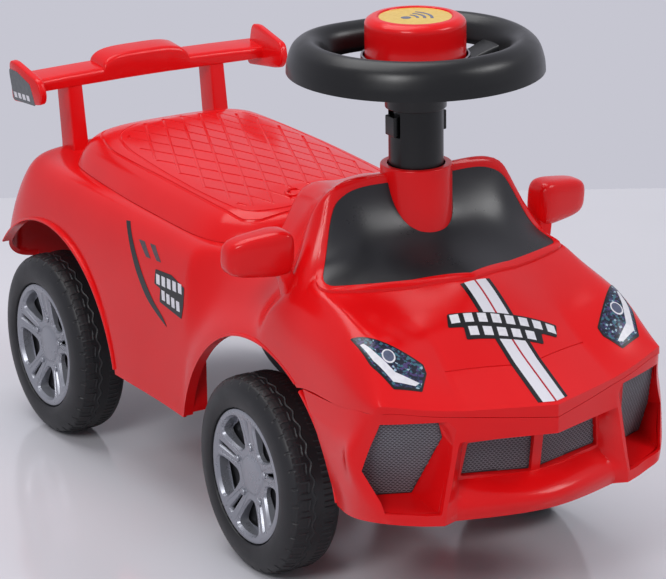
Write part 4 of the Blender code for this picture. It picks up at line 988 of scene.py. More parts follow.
# %% Outlines on the door
CRESCENT = smooth_loop([
    (101.0, 202.6), (92.8, 194.8), (83.9, 184.4), (71.4, 169.8), (55.9, 155.8), (40.0, 147.3),
    (24.6, 141.2)], 5, closed=False)
CRESCENT += smooth_loop([
    (24.6, 141.9), (32.3, 148.1), (45.6, 156.1), (61.3, 169.6), (74.5, 183.1), (85.6, 194.3),
    (95.4, 203.3)], 5, closed=False)
BADGE = [(44.0, 180.5), (20.0, 182.2), (0.0, 177.5), (0.0, 164.4), (2.3, 153.4),
         (35.4, 157.6), (35.1, 168.0), (44.2, 169.4)]
DASHES = [[(75.0, 195.0), (66.0, 195.5), (53.0, 186.0), (60.0, 185.6)],
          [(58.0, 196.2), (50.0, 196.6), (37.0, 187.2), (44.0, 186.8)]]


def door_bars():
    """Two rows of slanted bars on the dark badge of the door."""
    bars = []
    for count, first, step, z, slope in ((5, 39.0, 8.2, 174.8, -0.05),
                                         (4, 30.0, 7.4, 162.8, 0.10)):
        for y in (first - k * step for k in range(count)):
            middle, half = z + (y - 20) * slope, step * BAR_SHARE
            bars.append([(y + half + 0.7, middle + 3.6), (y - half + 0.7, middle + 3.6),
                         (y - half - 0.7, middle - 3.6), (y + half - 0.7, middle - 3.6)])
    return bars


print("bars on each door:", len(door_bars()))


# %% Door stickers
def on_side(name, outline, side, lift):
    """A thin patch of the shell's side inside an outline of (y, z)."""
    patch = shell_surface(name, skin=0.2, lift=lift)
    edge = bar_x("patch_edge", outline, *sorted((side * 96.0, side * 130.0)))
    return carve(patch, [edge], "INTERSECT", smooth=40)


prints = [("door_crescent", CRESCENT, INK_BLACK, UNDER_LIFT),
          ("door_ground", fillet(BADGE, 0.8, 2), INK_BLACK, UNDER_LIFT)]
prints += [(f"door_slash_{k + 1}", dash, INK_GREY_DARK, UNDER_LIFT)
           for k, dash in enumerate(DASHES)]
prints += [(f"door_bar_{k + 1}", bar, INK_WHITE, 0.45) for k, bar in enumerate(door_bars())]
for side, label in SIDES:
    for name, outline, ink, lift in prints:
        piece(on_side(f"{name}_{label}", outline, side, lift), ink, "shell", "red_plastic")
print("stickers on each door:", len(prints))

# %% [markdown]
# ## Bumper
# A second red moulding closes the nose under the seam, with a deep pod behind each corner and
# a grille field in the middle. It could be modelled as one piece with the shell, but the real
# seam shows, so it is a panel of its own that starts on the shell's last row. The pods are solid
# blocks united with the panel and then hollowed to sloping walls.

# %% Planes of the inserts
INTAKE_PLANE = ((94.4, -271.1, 130.5), (0.911, 0.413, 0.0), (0.136, -0.300, 0.945))
INTAKE = [(14.3, 30.6), (-25.5, 30.0), (-29.0, 15.5), (-10.0, -32.3), (32.4, -33.2),
          (30.3, -8.5)]
GRILLE_PLANE = ((28.5, -290.5, 126.0), (0.986, 0.145, 0.03), (0.0, -0.13, 0.99))
GRILLE = [(-25.5, 14.0), (23.5, 12.0), (27.0, -12.5), (-25.5, -15.5)]
MESH_T, SEAT_DEPTH, POD_WALL_T = 1.4, 1.7, 2.6


def plane_axes(plane):
    """The origin of a plane, its two unit directions and its normal."""
    origin, u, v = (Vector(a) for a in plane)
    u.normalize()
    v.normalize()
    return origin, u, v, u.cross(v)


def in_plane(outline, plane, side, depth):
    """Points of a plane outline on one side of the car, pushed back along the normal."""
    origin, u, v, w = plane_axes(plane)
    points = [origin - w * depth + u * a + v * b for a, b in outline]
    return [(p.x * side, p.y, p.z) for p in points]


def slab(name, outline, plane, side, near, far):
    """A plate in a plane, between two depths behind it."""
    return loft(name, [in_plane(outline, plane, side, near), in_plane(outline, plane, side, far)])


print("grille plane normal:", tuple(round(c, 3) for c in plane_axes(GRILLE_PLANE)[3]))

# %% Bumper moulding
POD_CUT = [
    (115, -285, 159.3), (62, -305.5, 158.6), (66.6, -306.2, 139.5), (75.4, -307, 92.0),
    (110.8, -291.3, 97.0), (123.3, -281, 128.8),
]
POD_WALL = [
    (117, -269, 160.6), (61.8, -297.4, 159.4), (64.6, -296.4, 141), (75.2, -294.4, 88.6),
    (115.2, -277.8, 92.6), (123.6, -264.8, 126),
]
TAB = [(73, -289.6), (87, -283.2), (87, -254), (73, -254)]
bumper = bumper_surface("bumper_moulding")
joins, cuts = [], []
for side, label in SIDES:
    joins += [
        slab(f"collar_{label}", inset(GRILLE, -1.6), GRILLE_PLANE, side, -0.15, 6.35),
        loft(f"pod_{label}", [
            [(x * side, y, z) for x, y, z in POD_WALL],
            in_plane(inset(INTAKE, -POD_WALL_T), INTAKE_PLANE, side, SEAT_DEPTH + POD_WALL_T)]),
        arch_lip(f"lip_bumper_{label}", FRONT_AXLE_Y, side, 110.7, 118.8, 122.5, 164),
        prism(f"tab_{label}", TAB, 156.0, 158.2, side)]
    cuts += [
        arch_drum(f"arch_bumper_{label}", FRONT_AXLE_Y, side),
        slab(f"window_{label}", fillet(GRILLE, 1.6, 3), GRILLE_PLANE, side, -20, 20),
        loft(f"pod_cut_{label}", [
            [(x * side, y, z) for x, y, z in POD_CUT], in_plane(INTAKE, INTAKE_PLANE, side, 0),
            in_plane(INTAKE, INTAKE_PLANE, side, SEAT_DEPTH)]),
        place(turned("tab_hole", [(0, 140), (1.9, 140), (1.9, 168), (0, 168)], 24),
              at(side * 80, -262, 0))]
carve(bumper, joins, "UNION")
carve(bumper, cuts, smooth=32)
piece(bumper, RED, "shell", "red_plastic", "front_bumper")
print("bumper faces:", len(bumper.data.polygons))

# %% [markdown]
# ## Mesh inserts
# Dark plates with raised wires fill the pods and the grille. The wires could be a bump in the
# material, but they catch the light from the side, so they are real. One link is repeated over
# a field of points, which is what Geometry Nodes do best: the group takes the link's sizes as
# inputs, sets a wire hexagon on every point and ends as plain geometry with its material.

# %% Geometry group helpers
def node_group(name, inputs):
    """An empty geometry group with named inputs, the first of them the mesh."""
    group = bpy.data.node_groups.new(name, "GeometryNodeTree")
    group.interface.new_socket("Geometry", in_out="INPUT", socket_type="NodeSocketGeometry")
    for label, kind, value in inputs:
        socket = group.interface.new_socket(label, in_out="INPUT", socket_type=kind)
        if value is not None:
            socket.default_value = value
    group.interface.new_socket("Geometry", in_out="OUTPUT", socket_type="NodeSocketGeometry")
    return group, group.nodes.new("NodeGroupInput"), group.nodes.new("NodeGroupOutput")


def grow(name, base, group, values):
    """Runs a geometry group on an object and keeps the result as plain mesh."""
    mod = modifier(base, "NODES", node_group=group)
    sockets = {item.name: item.identifier for item in group.interface.items_tree
               if item.in_out == "INPUT"}
    for label, value in values.items():
        mod[sockets[label]] = value
    settle(base)
    base.name = name
    return base


print("geometry group helpers ready")

# %% Node group for the wires
wires, source, sink = node_group("wire_field", [
    ("Link width", "NodeSocketFloat", 0.003), ("Link height", "NodeSocketFloat", 0.002),
    ("Wire radius", "NodeSocketFloat", 0.0002), ("Material", "NodeSocketMaterial", None)])
ring = add(wires, "GeometryNodeMeshCircle", values={"Vertices": 6, "Radius": 1.0})
ring_curve = add(wires, "GeometryNodeMeshToCurve", {"Mesh": ring.outputs["Mesh"]})
size = add(wires, "ShaderNodeCombineXYZ", {"X": source.outputs["Link width"],
                                           "Y": source.outputs["Link height"]}, {"Z": 1.0})
shaped = add(wires, "GeometryNodeTransform", {"Geometry": ring_curve.outputs["Curve"],
                                              "Scale": size.outputs["Vector"]})
section = add(wires, "GeometryNodeCurvePrimitiveCircle",
              {"Radius": source.outputs["Wire radius"]}, {"Resolution": 5})
link_mesh = add(wires, "GeometryNodeCurveToMesh", {"Curve": shaped.outputs["Geometry"],
                                                   "Profile Curve": section.outputs["Curve"]})
spread = add(wires, "GeometryNodeInstanceOnPoints", {"Points": source.outputs["Geometry"],
                                                     "Instance": link_mesh.outputs["Mesh"]})
solid = add(wires, "GeometryNodeRealizeInstances", {"Geometry": spread.outputs["Instances"]})
finish = add(wires, "GeometryNodeSetMaterial", {"Geometry": solid.outputs["Geometry"],
                                                "Material": source.outputs["Material"]})
wires.links.new(finish.outputs["Geometry"], sink.inputs["Geometry"])
print("wire group nodes:", len(wires.nodes))

# %% Backings and wires
LINK_W, LINK_H, WIRE_R = 3.1, 2.1, 0.22
HEX_HALF_W, HEX_HALF_H, ROW_STEP = 0.577, 0.5, 0.75  # shares of a hexagon's pitch


def link_field(outline):
    """Staggered rows of points inside an outline."""
    spots = [((col + 0.5 * (row % 2)) * LINK_W, row * LINK_H * ROW_STEP)
             for row in range(-30, 31) for col in range(-30, 31)]
    return [(x, y, 0) for x, y in spots if inside(x, y, outline)]


for kind, outline, plane, near in (("intake", INTAKE, INTAKE_PLANE, 0.0),
                                   ("grille", GRILLE, GRILLE_PLANE, 0.8)):
    origin, u, v, w = plane_axes(plane)
    to_plane = Matrix((u, v, w)).transposed().to_4x4()
    to_plane.translation = (origin - w * (near + 0.3)) * MM
    points = link_field(inset(outline, 1.6))
    for side, label in SIDES:
        backing = slab(f"{kind}_backing_{label}", inset(outline, 0.35), plane, side,
                       near + 0.35, near + MESH_T)
        piece(backing, MESH_BACK, "shell", "mesh_grey", f"{kind}_mesh_{label}")
        net = grow(f"{kind}_wires_{label}", mesh_object("field", points, []), wires, {
            "Link width": LINK_W * HEX_HALF_W * MM, "Link height": LINK_H * HEX_HALF_H * MM,
            "Wire radius": WIRE_R * MM, "Material": MESH_WIRE})
        place(net, Matrix.Scale(side, 4, (1, 0, 0)) @ to_plane)
        piece(net, MESH_WIRE, "shell", "mesh_grey")
        print(f"{kind}_{label}: {len(points)} links")

# %% [markdown]
# ## Seat lid
# The seat is the lid of the storage tub: a shallow dome like a cushion, with two grooves round
# it and a lattice of finer ones. A subdivided block would round its corners too far, and a height
# map would need a very dense mesh. So the dome is a loft through inset rings of the lid's own
# outline, made fine by a curve through the ring table.

# %% Dome surface
LID_FOOT_Z, LID_T, CROWN_INSET = 210.6, 2.4, 22
RIDGE_FRONT, RIDGE_REAR = 30.0, 205.0  # the crown falls off on every side of this line
DOME = [(0, 0), (1.8, 4.2), (5.5, 11), (12, 18.6), (CROWN_INSET, 24.2)]
LID_EDGE = evenly(smooth_loop(LID, 4), 220)
CROWN_EDGE = inset(LID_EDGE, CROWN_INSET)


def lid_lift(y):
    """The share of its full height that the dome has at y; it is lower towards the front."""
    return 0.80 + 0.20 * min(max((y + 20) / 240, 0), 1)


def dome_ring(step, height):
    """The lid's outline drawn in by a step and raised."""
    return [(x, y, LID_FOOT_Z + height * lid_lift(y)) for x, y in inset(LID_EDGE, step)]


def crown_ring(t, height):
    """A ring between the crown's edge (t = 0) and its ridge (t = 1)."""
    ring = []
    for x, y in CROWN_EDGE:
        middle = min(max(y, RIDGE_FRONT), RIDGE_REAR)
        py = y + (middle - y) * t
        ring.append((x * (1 - t), py, LID_FOOT_Z + height * lid_lift(py)))
    return ring


profile = smooth_loop([(-1.2, -2.4)] + DOME + [(34, 27.2)], 5, closed=False)[5:-5]
rings = [dome_ring(step, height) for step, height in profile[:-1]]
for t in np.linspace(0, 0.93, 20):
    rings.append(crown_ring(t, float(np.interp(t, [0, 0.12, 0.35, 0.7, 1.0],
                                               [24.2, 26.2, 28.0, 31.0, 31.4]))))
inner = [[(x, y, z - LID_T) for x, y, z in ring] for ring in rings[12:]]
foot_ring = [(x, y, LID_FOOT_Z) for x, y in inset(LID_EDGE, 2.6)]
lid = loft("seat_lid_moulding", rings[::-1] + [foot_ring] + inner, smooth=30)
print("lid faces:", len(lid.data.polygons))

# %% Tubes along the dome
lid_tree = BVHTree.FromObject(lid, bpy.context.evaluated_depsgraph_get())


def on_lid(x, y):
    """The point of the dome above a plan position, with its normal."""
    hit, normal, _, _ = lid_tree.ray_cast(Vector((x, y, 320)) * MM, Vector((0, 0, -1)))
    return hit / MM, normal


def groove(name, plan, radius, sink, loop=False):
    """A thin tube along the dome over a plan line; cut away, it leaves a round groove."""
    centres = [on_lid(x, y) for x, y in plan]
    count = len(centres)
    rings = []
    for k, (point, normal) in enumerate(centres):
        ahead = centres[(k + 1) % count][0] if loop or k < count - 1 else point
        behind = centres[k - 1][0] if loop or k else point
        across = (ahead - behind).normalized().cross(normal).normalized()
        middle = point + normal * sink
        rings.append([tuple(middle + across * a + normal * b) for a, b in disc(0, 0, radius, 8)])
    return loft(name, rings, loop=loop)


def runs_inside(origin, direction, outline):
    """The stretches of a straight line that lie inside an outline."""
    runs, run = [], []
    for t in np.arange(-180, 180.1, 3.0):
        x, y = origin + direction * t
        if inside(x, y, outline):
            run.append((x, y))
        elif run:
            runs.append(run)
            run = []
    return [stretch for stretch in runs + [run] if len(stretch) > 3]


print("dome height at the middle:", round(on_lid(0, 96)[0].z - LID_FOOT_Z, 1))

# %% Border grooves, lattice and finger loop
LATTICE_STEP = 15.0
OUTER_HALF = [(0, 246), (42, 243), (64, 229), (74, 200), (76.5, 166), (77, 132), (76.5, 97),
              (76, 53), (74.8, 14), (70.5, -8), (63, -16), (53.4, -19.6), (31, -20.5), (0, -20.5)]
INNER_HALF = [(0, 228), (36, 224), (58, 208), (67, 180), (70, 145), (71.5, 108), (71.6, 50),
              (68.6, 10), (63.6, -3.5), (54, -10.8), (42, -14.3), (29.6, -15), (0, -15)]
outer_line, inner_line = (both_sides(smooth_loop(half, 8, closed=False))
                          for half in (OUTER_HALF, INNER_HALF))
tools = [groove("groove_outer", evenly(outer_line, 160), 1.5, 0.45, loop=True),
         groove("groove_inner", evenly(inner_line, 160), 1.3, 0.45, loop=True)]
field = inset(evenly(inner_line, 120), 6.0)
for lean in (-1, 1):
    direction = np.array([0.375 * lean, 0.927])
    across = np.array([direction[1], -direction[0]])
    for k in range(-10, 11):
        origin = np.array([0.0, 96.0]) + across * (k * LATTICE_STEP)
        tools += [groove("groove_lattice", run, 1.25, 0.35)
                  for run in runs_inside(origin, direction, field)]
print("grooves:", len(tools))
carve(lid, tools, smooth=30)
loop_line = [(-16 + 7.5 * math.cos(a), 4 + 5.5 * math.sin(a))
             for a in np.linspace(math.radians(60), math.radians(330), 28)]
carve(lid, [groove("finger_loop", loop_line, 1.2, 0.1)], "UNION", smooth=30)

# %% Hinge barrels of the lid
LID_AXIS = (268.5, 214.0)
ARM = fillet([(260.6, 211.4), (268, 211.4), (268, 215.6), (260.6, 215.6)], [0, 0, 0, 1])
joins, cuts = [], []
for side in (-1, 1):
    joins += [bar_x("arm", ARM, 34, 44, side),
              bar_x("barrel", disc(*LID_AXIS, 3.2, 40), 34, 44, side)]
    cuts.append(bar_x("pin_way", disc(*LID_AXIS, 1.75, 24), 33, 45, side))
carve(lid, joins, "UNION")
carve(lid, cuts, smooth=30)
piece(lid, RED, "seat", "red_plastic", "seat_lid")
print("lid done:", len(lid.data.polygons))

# %% [markdown]
# ## Rear wing
# The wing is one moulding: a blade with a hump in its middle, two leaning end plates and two
# posts. It could be a few bevelled boxes, but the hump swells out of the blade. So the blade is
# a loft through stations across the car, and the plates and posts are united with it.

# %% Blade
BLADE = [
    # x, top, front, rear
    (0, 283.4, 274.8, 299.5), (20.6, 283.2, 274.6, 299.5), (29, 281, 274.0, 299.8),
    (38.5, 273.6, 273.5, 300), (70, 273, 272.5, 300), (107.5, 272, 270.4, 300),
]
HUMP_HALF, HUMP_FOOT, HUMP_RISE = 38.5, 273.5, 10.0
spans = []
for x in [*np.linspace(0, 30, 11), *np.linspace(31.5, HUMP_HALF, 12), 39.2,
          *np.linspace(45, 107.5, 12)]:
    top, front, rear = (float(np.interp(x, [s[0] for s in BLADE], [s[k] for s in BLADE]))
                        for k in (1, 2, 3))
    if x <= HUMP_HALF:
        top = HUMP_FOOT + HUMP_RISE * math.sqrt(max(1 - (x / HUMP_HALF) ** 4, 0.0))
    spans.append((float(x), top, front, rear))
wing_rings = []
for x, top, front, rear in [(-x, *rest) for x, *rest in reversed(spans[1:])] + spans:
    ring = [(front + 0.6, 262.2), (front, top - 3), (front + 2.4, top), (rear - 2, top + 1.5),
            (rear, top), (rear - 1.5, 264.5)]
    wing_rings.append([(x, y, z) for y, z in fillet(ring, [1.6, 1.8, 1.8, 0.9, 0.9, 1.6], 3)])
wing = loft("wing_moulding", wing_rings, smooth=30)
print("blade stations:", len(wing_rings))

# %% End plates and posts
FIN_X, FIN_Y, FIN_Z, FIN_LEAN = 108.4, 270, 270, 0.10
END_PLATE = [
    (294, 283), (291.5, 287), (284, 287.6), (243.5, 280.2), (238.6, 269), (243, 260.5),
    (250, 258.5), (293, 252.6), (296.5, 255),
]
EDGE_STEPS = ((-3.0, 1.3), (-2.7, 0.6), (-2.1, 0.15), (-1.4, 0.0), (1.4, 0.0), (2.1, 0.15),
              (2.7, 0.6), (3.0, 1.3))  # across the plate, and how far its edge is drawn in
POST_LEVELS = ((206.5, 266.6, 289.4, 1.0), (214, 267.4, 290, 0.6), (268, 275, 297.5, 0.0))


def on_fin(outline, side, out):
    """An outline of (y, z) laid in a leaning end plate, some way out from its middle plane."""
    upward = Vector((side * FIN_LEAN, 0, 1)).normalized()
    outward = Vector((side, 0, -FIN_LEAN)).normalized()
    middle = Vector((side * FIN_X, FIN_Y, FIN_Z))
    return [tuple(middle + Vector((0, y - FIN_Y, 0)) + upward * (z - FIN_Z) + outward * out)
            for y, z in outline]


joins = []
plate = fillet(END_PLATE, 5.0, 6)
for side in (-1, 1):
    joins.append(loft("fin", [on_fin(inset(plate, pull), side, side * across)
                              for across, pull in EDGE_STEPS]))
    joins.append(loft("post", [
        [(side * x, y, z) for x, y in fillet(
            [(58.0 - w, front), (70.5 + w, front), (70.5 + w, rear), (58.0 - w, rear)], 1.8, 3)]
        for z, front, rear, w in POST_LEVELS]))
carve(wing, joins, "UNION", smooth=30)
piece(wing, RED, "shell", "red_plastic", "rear_wing")
print("wing faces:", len(wing.data.polygons))

# %% Fields and bars on the end plates
FIELD = [(295, 275), (294, 280), (280, 280.4), (257.6, 274.5), (252, 257.8), (293, 254.2)]
for side, label in SIDES:
    outline = fillet(FIELD, 1.6, 3)
    ground = loft(f"wing_field_{label}", [on_fin(outline, side, out) for out in (2.9, 3.12)])
    piece(ground, FIELD_GREY, "shell", "red_plastic")
    for k in range(4):
        y, z = 261 + k * 8.0, 259.6 - k * 0.7
        bar = [(y, z), (y + 5.2, z - 0.4), (y + 6.4, z + 4.0), (y + 1.2, z + 4.4)]
        mark = loft(f"wing_bar_{label}_{k + 1}", [on_fin(bar, side, out) for out in (3.1, 3.2)])
        piece(mark, INK_WHITE, "shell", "red_plastic")
    print("end plate field and bars:", label)

# %% [markdown]
# ## Mirrors
# Each mirror is a pillow-shaped head on a square stalk. A sphere would be too round for it, so a
# cube is cut once, narrowed outward and subdivided until its corners are soft, and the stalk is
# lofted through three sections and united with it.

# %% Mirrors
bm = bmesh.new()
bmesh.ops.create_cube(bm, size=1.0)
bmesh.ops.subdivide_edges(bm, edges=bm.edges, cuts=1, use_grid_fill=True)
for v in bm.verts:
    along, across, up = v.co * 2
    narrow = 1.0 - 0.16 * along - 0.06 * abs(up)
    v.co = Vector((
        124.5 + along * 23.5, -133.5 + across * 13.0 * narrow + along * 4.5 - up * 1.5,
        241.6 + up * 17.0 * narrow - along * 1.0,
    )) * MM
mesh = bpy.data.meshes.new("mirror_head")
bm.to_mesh(mesh)
bm.free()
mesh.shade_smooth()
head = mesh_holder("mirror_left_moulding", mesh)
modifier(head, "SUBSURF", levels=4, render_levels=4)
settle(head)
stalk = loft("stalk", [
    [(x, y, z) for x, y in fillet([(cx - w, cy - w), (cx + w, cy - w), (cx + w, cy + w),
                                   (cx - w, cy + w)], 1.4, 4)]
    for z, cx, cy, w in ((207, 103.5, -142.5, 5.0), (221, 105.5, -142.0, 5.2),
                         (233, 109.0, -138.5, 5.5))])
carve(head, [stalk], "UNION", smooth=40)
other = twin(head, "mirror_right_moulding")
piece(head, RED, "shell", "red_plastic", "mirror_left")
piece(other, RED, "shell", "red_plastic", "mirror_right")
print("mirror faces:", len(head.data.polygons))

# %% [markdown]
# ## Tyres
# Each tyre is a blow moulding with a shallow tread of ribs, waves and small blocks. Cutting the
# tread would take hundreds of booleans, and a bump map would leave its outline smooth. So one
# pitch is a grid of points with the tread pressed in, and a node group repeats it round the axle,
# welds the copies and sets their material.

# %% Node group for a ring of copies
around, source, sink = node_group("ring_of_copies", [
    ("Count", "NodeSocketInt", 36), ("Weld distance", "NodeSocketFloat", 0.00001),
    ("Material", "NodeSocketMaterial", None)])
dots = add(around, "GeometryNodePoints", {"Count": source.outputs["Count"]})
index = add(around, "GeometryNodeInputIndex")
share = add(around, "ShaderNodeMath", {0: index.outputs["Index"], 1: source.outputs["Count"]},
            operation="DIVIDE")
angle = add(around, "ShaderNodeMath", {0: share.outputs["Value"]}, {1: math.tau},
            operation="MULTIPLY")
turn_z = add(around, "ShaderNodeCombineXYZ", {"Z": angle.outputs["Value"]})
copies = add(around, "GeometryNodeInstanceOnPoints", {
    "Points": dots.outputs["Geometry"], "Instance": source.outputs["Geometry"],
    "Rotation": turn_z.outputs["Vector"]})
real = add(around, "GeometryNodeRealizeInstances", {"Geometry": copies.outputs["Instances"]})
welded = add(around, "GeometryNodeMergeByDistance", {
    "Geometry": real.outputs["Geometry"], "Distance": source.outputs["Weld distance"]})
coated = add(around, "GeometryNodeSetMaterial", {"Geometry": welded.outputs["Geometry"],
                                                 "Material": source.outputs["Material"]})
around.links.new(coated.outputs["Geometry"], sink.inputs["Geometry"])
print("ring group nodes:", len(around.nodes))

# %% Section of the tyre
PITCHES, ACROSS, TYRE_R = 34, 22, 72.0
PITCH_MM = math.tau * TYRE_R / PITCHES
CROWN = smooth_loop([(49.9, 34), (49.9, 40.6), (52, 42.2), (57, 42.8), (63, 42.0), (68, 39.7),
                     (70.9, 36.3), (71.9, 31.5)], 8, closed=False)
CROWN += [(TYRE_R, z) for z in np.arange(31, 11, -0.5)]
CROWN += smooth_loop([(TYRE_R, 11), (71.2, 7.5), (69.4, 4.3), (66.0, 1.8), (58, 0.2)], 6,
                     closed=False)
HOLLOW = [(42, 12.0), (14.0, 12.0), (11.0, 0.4), (3.3, 0.4), (3.3, 30.0), (40.0, 29.0),
          (49.9, 30.5)]
crown = [(min(r, TYRE_R), min(z, WHEEL_W)) for r, z in CROWN]
profile = crown + HOLLOW
print("points of the section:", len(profile))


# %% Tread
def pulse(value, centre, half, soft):
    """One inside a band, falling smoothly to nought outside it."""
    t = min(max((half + soft - abs(value - centre)) / soft, 0.0), 1.0)
    return t * t * (3 - 2 * t)


def tread_depth(phase, radius, height):
    """How far the tread lies under the tyre's outer form at a place on it, in millimetres."""
    along = phase * PITCH_MM
    middle = pulse(along, PITCH_MM / 2, PITCH_MM / 2 - 2.6, 0.6)
    swing = 1.1 * math.sin(math.tau * phase)
    wall = max(pulse(along, 2.6, 0.12, 0.55), pulse(along, PITCH_MM - 2.6, 0.12, 0.55))
    rib = (phase * 3) % 1.0 * PITCH_MM / 3
    raised = max(wall * pulse(height, 32.6, 4.2, 0.8),
                 pulse(height, 28.2 + swing * 0.4, 0.1, 0.6) * middle,
                 pulse(height, 24.6 + swing, 0.15, 0.6),
                 0.9 * pulse(rib, PITCH_MM / 6, 0.25, 0.55) * pulse(height, 12.5, 4.2, 0.9))
    ground = 0.6 * pulse(height, 21.5, 14.5, 2.0) * min(max((radius - 63) / 4, 0), 1)
    notch = 0.7 * pulse(height, 38.6, 1.2, 0.8) * pulse(along, PITCH_MM / 2, 0.5, 0.6)
    return ground * (1 - raised) + notch


def tyre_column(c):
    """The section at one step of a pitch, with the tread pressed in square to its outer form."""
    a = math.tau * (c / ACROSS) / PITCHES
    column = []
    for k, (r, z) in enumerate(profile):
        if 0 < k < len(crown) - 1:
            t = np.array(crown[k + 1]) - np.array(crown[k - 1])
            n = np.array([-t[1], t[0]]) / np.linalg.norm(t)
            d = tread_depth((c / ACROSS) % 1.0, r, z)
            r, z = r - abs(n[0]) * d, z - n[1] * d * np.sign(n[1]) * (1 if z > 21 else -1)
        column.append((r * math.cos(a), r * math.sin(a), z))
    return column


print("tread depth on the middle rib:", round(tread_depth(0.5, TYRE_R, 21.5), 2))

# %% One pitch repeated to a tyre
count = len(profile)
verts = [p for c in range(ACROSS + 1) for p in tyre_column(c)]
faces = [(c * count + k, (c + 1) * count + k, (c + 1) * count + (k + 1) % count,
          c * count + (k + 1) % count) for c in range(ACROSS) for k in range(count)]
tyre = grow("tyre", mesh_object("tyre_pitch", verts, faces, smooth=40), around, {
    "Count": PITCHES, "Weld distance": 0.00002, "Material": TYRE})
bm = bmesh.new()
bm.from_mesh(tyre.data)
volume = bm.calc_volume(signed=True)
open_edges = sum(1 for e in bm.edges if len(e.link_faces) != 2)
bm.free()
if volume < 0:
    tyre.data.flip_normals()
tyre.data.shade_smooth()
tyre.data.set_sharp_from_angle(angle=math.radians(40))
print("tyre faces:", len(tyre.data.polygons), "open edges:", open_edges)

# %% [markdown]
# ## Wheel covers
# A cover is a thin grey disc snapped into the tyre, with five openings and five twin spokes.
# Building ten spokes one by one would leave ten joints to hide. It is turned as a plain disc
# instead, given a collar round each opening and then pierced by chamfered cutters.

# %% Cover disc and its outlines
SPOKES = 5
COVER_FACE = [(0, 36.4), (12.8, 36.4), (13.8, 36.1), (14.8, 35.2), (16.5, 35.1), (30, 37.4),
              (43.0, 39.9), (44.2, 40.3), (45.4, 40.9), (47.6, 40.9), (48.8, 40.4), (49.2, 39.2),
              (49.2, 30.9), (47.4, 30.9), (46.9, 37.2), (15.0, 33.0), (0, 33.0)]
KIDNEY = [(20.8, -0.13), (20.8, 0.13), (24.5, 0.25), (31, 0.335), (37.5, 0.365), (41.4, 0.355),
          (43.2, 0.27), (43.5, 0.0), (43.2, -0.27), (41.4, -0.355), (37.5, -0.365), (31, -0.335),
          (24.5, -0.25)]


def polar(r, a):
    """The point at a radius and an angle."""
    return (r * math.cos(a), r * math.sin(a))


def face_height(x, y):
    """The height of the cover's face above a place on it."""
    return float(np.interp(math.hypot(x, y), [13, 16.5, 30, 43, 49],
                           [35.6, 35.1, 37.4, 39.9, 40.9]))


def spun(outline, a):
    """An outline turned about the axle."""
    c, s = math.cos(a), math.sin(a)
    return [(x * c - y * s, x * s + y * c) for x, y in outline]


cover = turned("cover", COVER_FACE, 180, smooth=28)
kidney = evenly(smooth_loop([polar(r, a) for r, a in KIDNEY], 5), 60)
slot = fillet([(23.5, 0.8), (42, 1.9), (42, -1.9), (23.5, -0.8)], 0.8, 3)
print("cover disc faces:", len(cover.data.polygons))


# %% Openings of the cover
def pierce(name, outline, a, flare, deep):
    """A cutter through the cover whose mouth opens out in a chamfer."""
    steps = ((0.0, -9.0), (0.0, -deep), (flare, 0.05), (flare + 1.5, 2.5))
    return loft(name, [[(x, y, face_height(x, y) + rise) for x, y in
                        spun(inset(outline, -spread), a)] for spread, rise in steps])


tools, collars = [], []
for k in range(SPOKES):
    spoke = k * math.tau / SPOKES
    between = spoke + math.pi / SPOKES
    tools += [pierce("kidney", kidney, between, 1.3, 1.8), pierce("slot", slot, spoke, 0.9, 1.6)]
    ring = spun(inset(kidney, -1.0), between)
    collars.append(loft("collar", [[(x, y, 30.8) for x, y in ring],
                                   [(x, y, face_height(x, y) - 1.2) for x, y in ring]]))
carve(cover, collars, "UNION")
carve(cover, tools)
print("openings:", len(tools))

# %% Bosses and ridges of the cover
RIDGE_SPREAD, RIDGE_SPLAY = 0.185, 0.045  # radians off the spoke's middle
BOSS = [(0, 34), (2.5, 34), (2.5, 36.6), (2.1, 37.2), (1.1, 37.5), (0, 37.5)]


def ridge(a, lean):
    """A fine raised line along one spoke, fading out at both ends."""
    rings = []
    for reach in np.linspace(17, 43, 14):
        x, y = polar(reach, a + lean * RIDGE_SPLAY * (1 - reach / 44))
        r = math.hypot(x, y)
        grown = 0.55 * math.sin(math.pi * min(max((r - 16) / 28, 0), 1)) ** 0.5
        rings.append([(x - y / r * w, y + x / r * w, face_height(x, y) + h) for w, h in (
            (-1.4, -0.8), (1.4, -0.8), (0.8, grown * 0.7), (0, grown), (-0.8, grown * 0.7))])
    return loft("ridge", rings)


bosses = []
for k in range(SPOKES):
    spoke = k * math.tau / SPOKES
    bosses.append(place(turned("boss", BOSS, 32), at(*polar(20.6, spoke), 0)))
    bosses += [ridge(spoke + lean * RIDGE_SPREAD, lean) for lean in (-1, 1)]
carve(cover, bosses, "UNION", smooth=28)
print("cover faces:", len(cover.data.polygons))

# %% Four wheels
for axle, y in (("front", FRONT_AXLE_Y), ("rear", REAR_AXLE_Y)):
    for side, label in SIDES:
        hub = at(side * (WHEEL_OUT - WHEEL_W), y, AXLE_Z) @ Matrix.Rotation(
            side * math.pi / 2, 4, "Y")
        for master, mat, slot_name, prefix in ((tyre, TYRE, "wheel_black", "wheel"),
                                               (cover, GREY, "wheel_grey", "wheel_cover")):
            solid_name = f"{prefix}_{axle}_{label}"
            part = place(mesh_holder(f"{solid_name}_moulding", master.data.copy()), hub)
            piece(part, mat, f"wheel_{axle}_{label}", slot_name, solid_name)
for master in (tyre, cover):
    bpy.data.objects.remove(master, do_unlink=True)
print("wheels on")

# %% [markdown]
# ## Steering wheel
# The wheel is a black moulding with a rim cut straight on the rider's side, a cup in the middle
# and a stem that plugs into the column. A torus has the wrong section and can't be cut straight,
# so the rim is an open section carried round a D-shaped pair of outlines.

# %% Rim
RIM_HIGH, RIM_STEPS = 382.0, 170


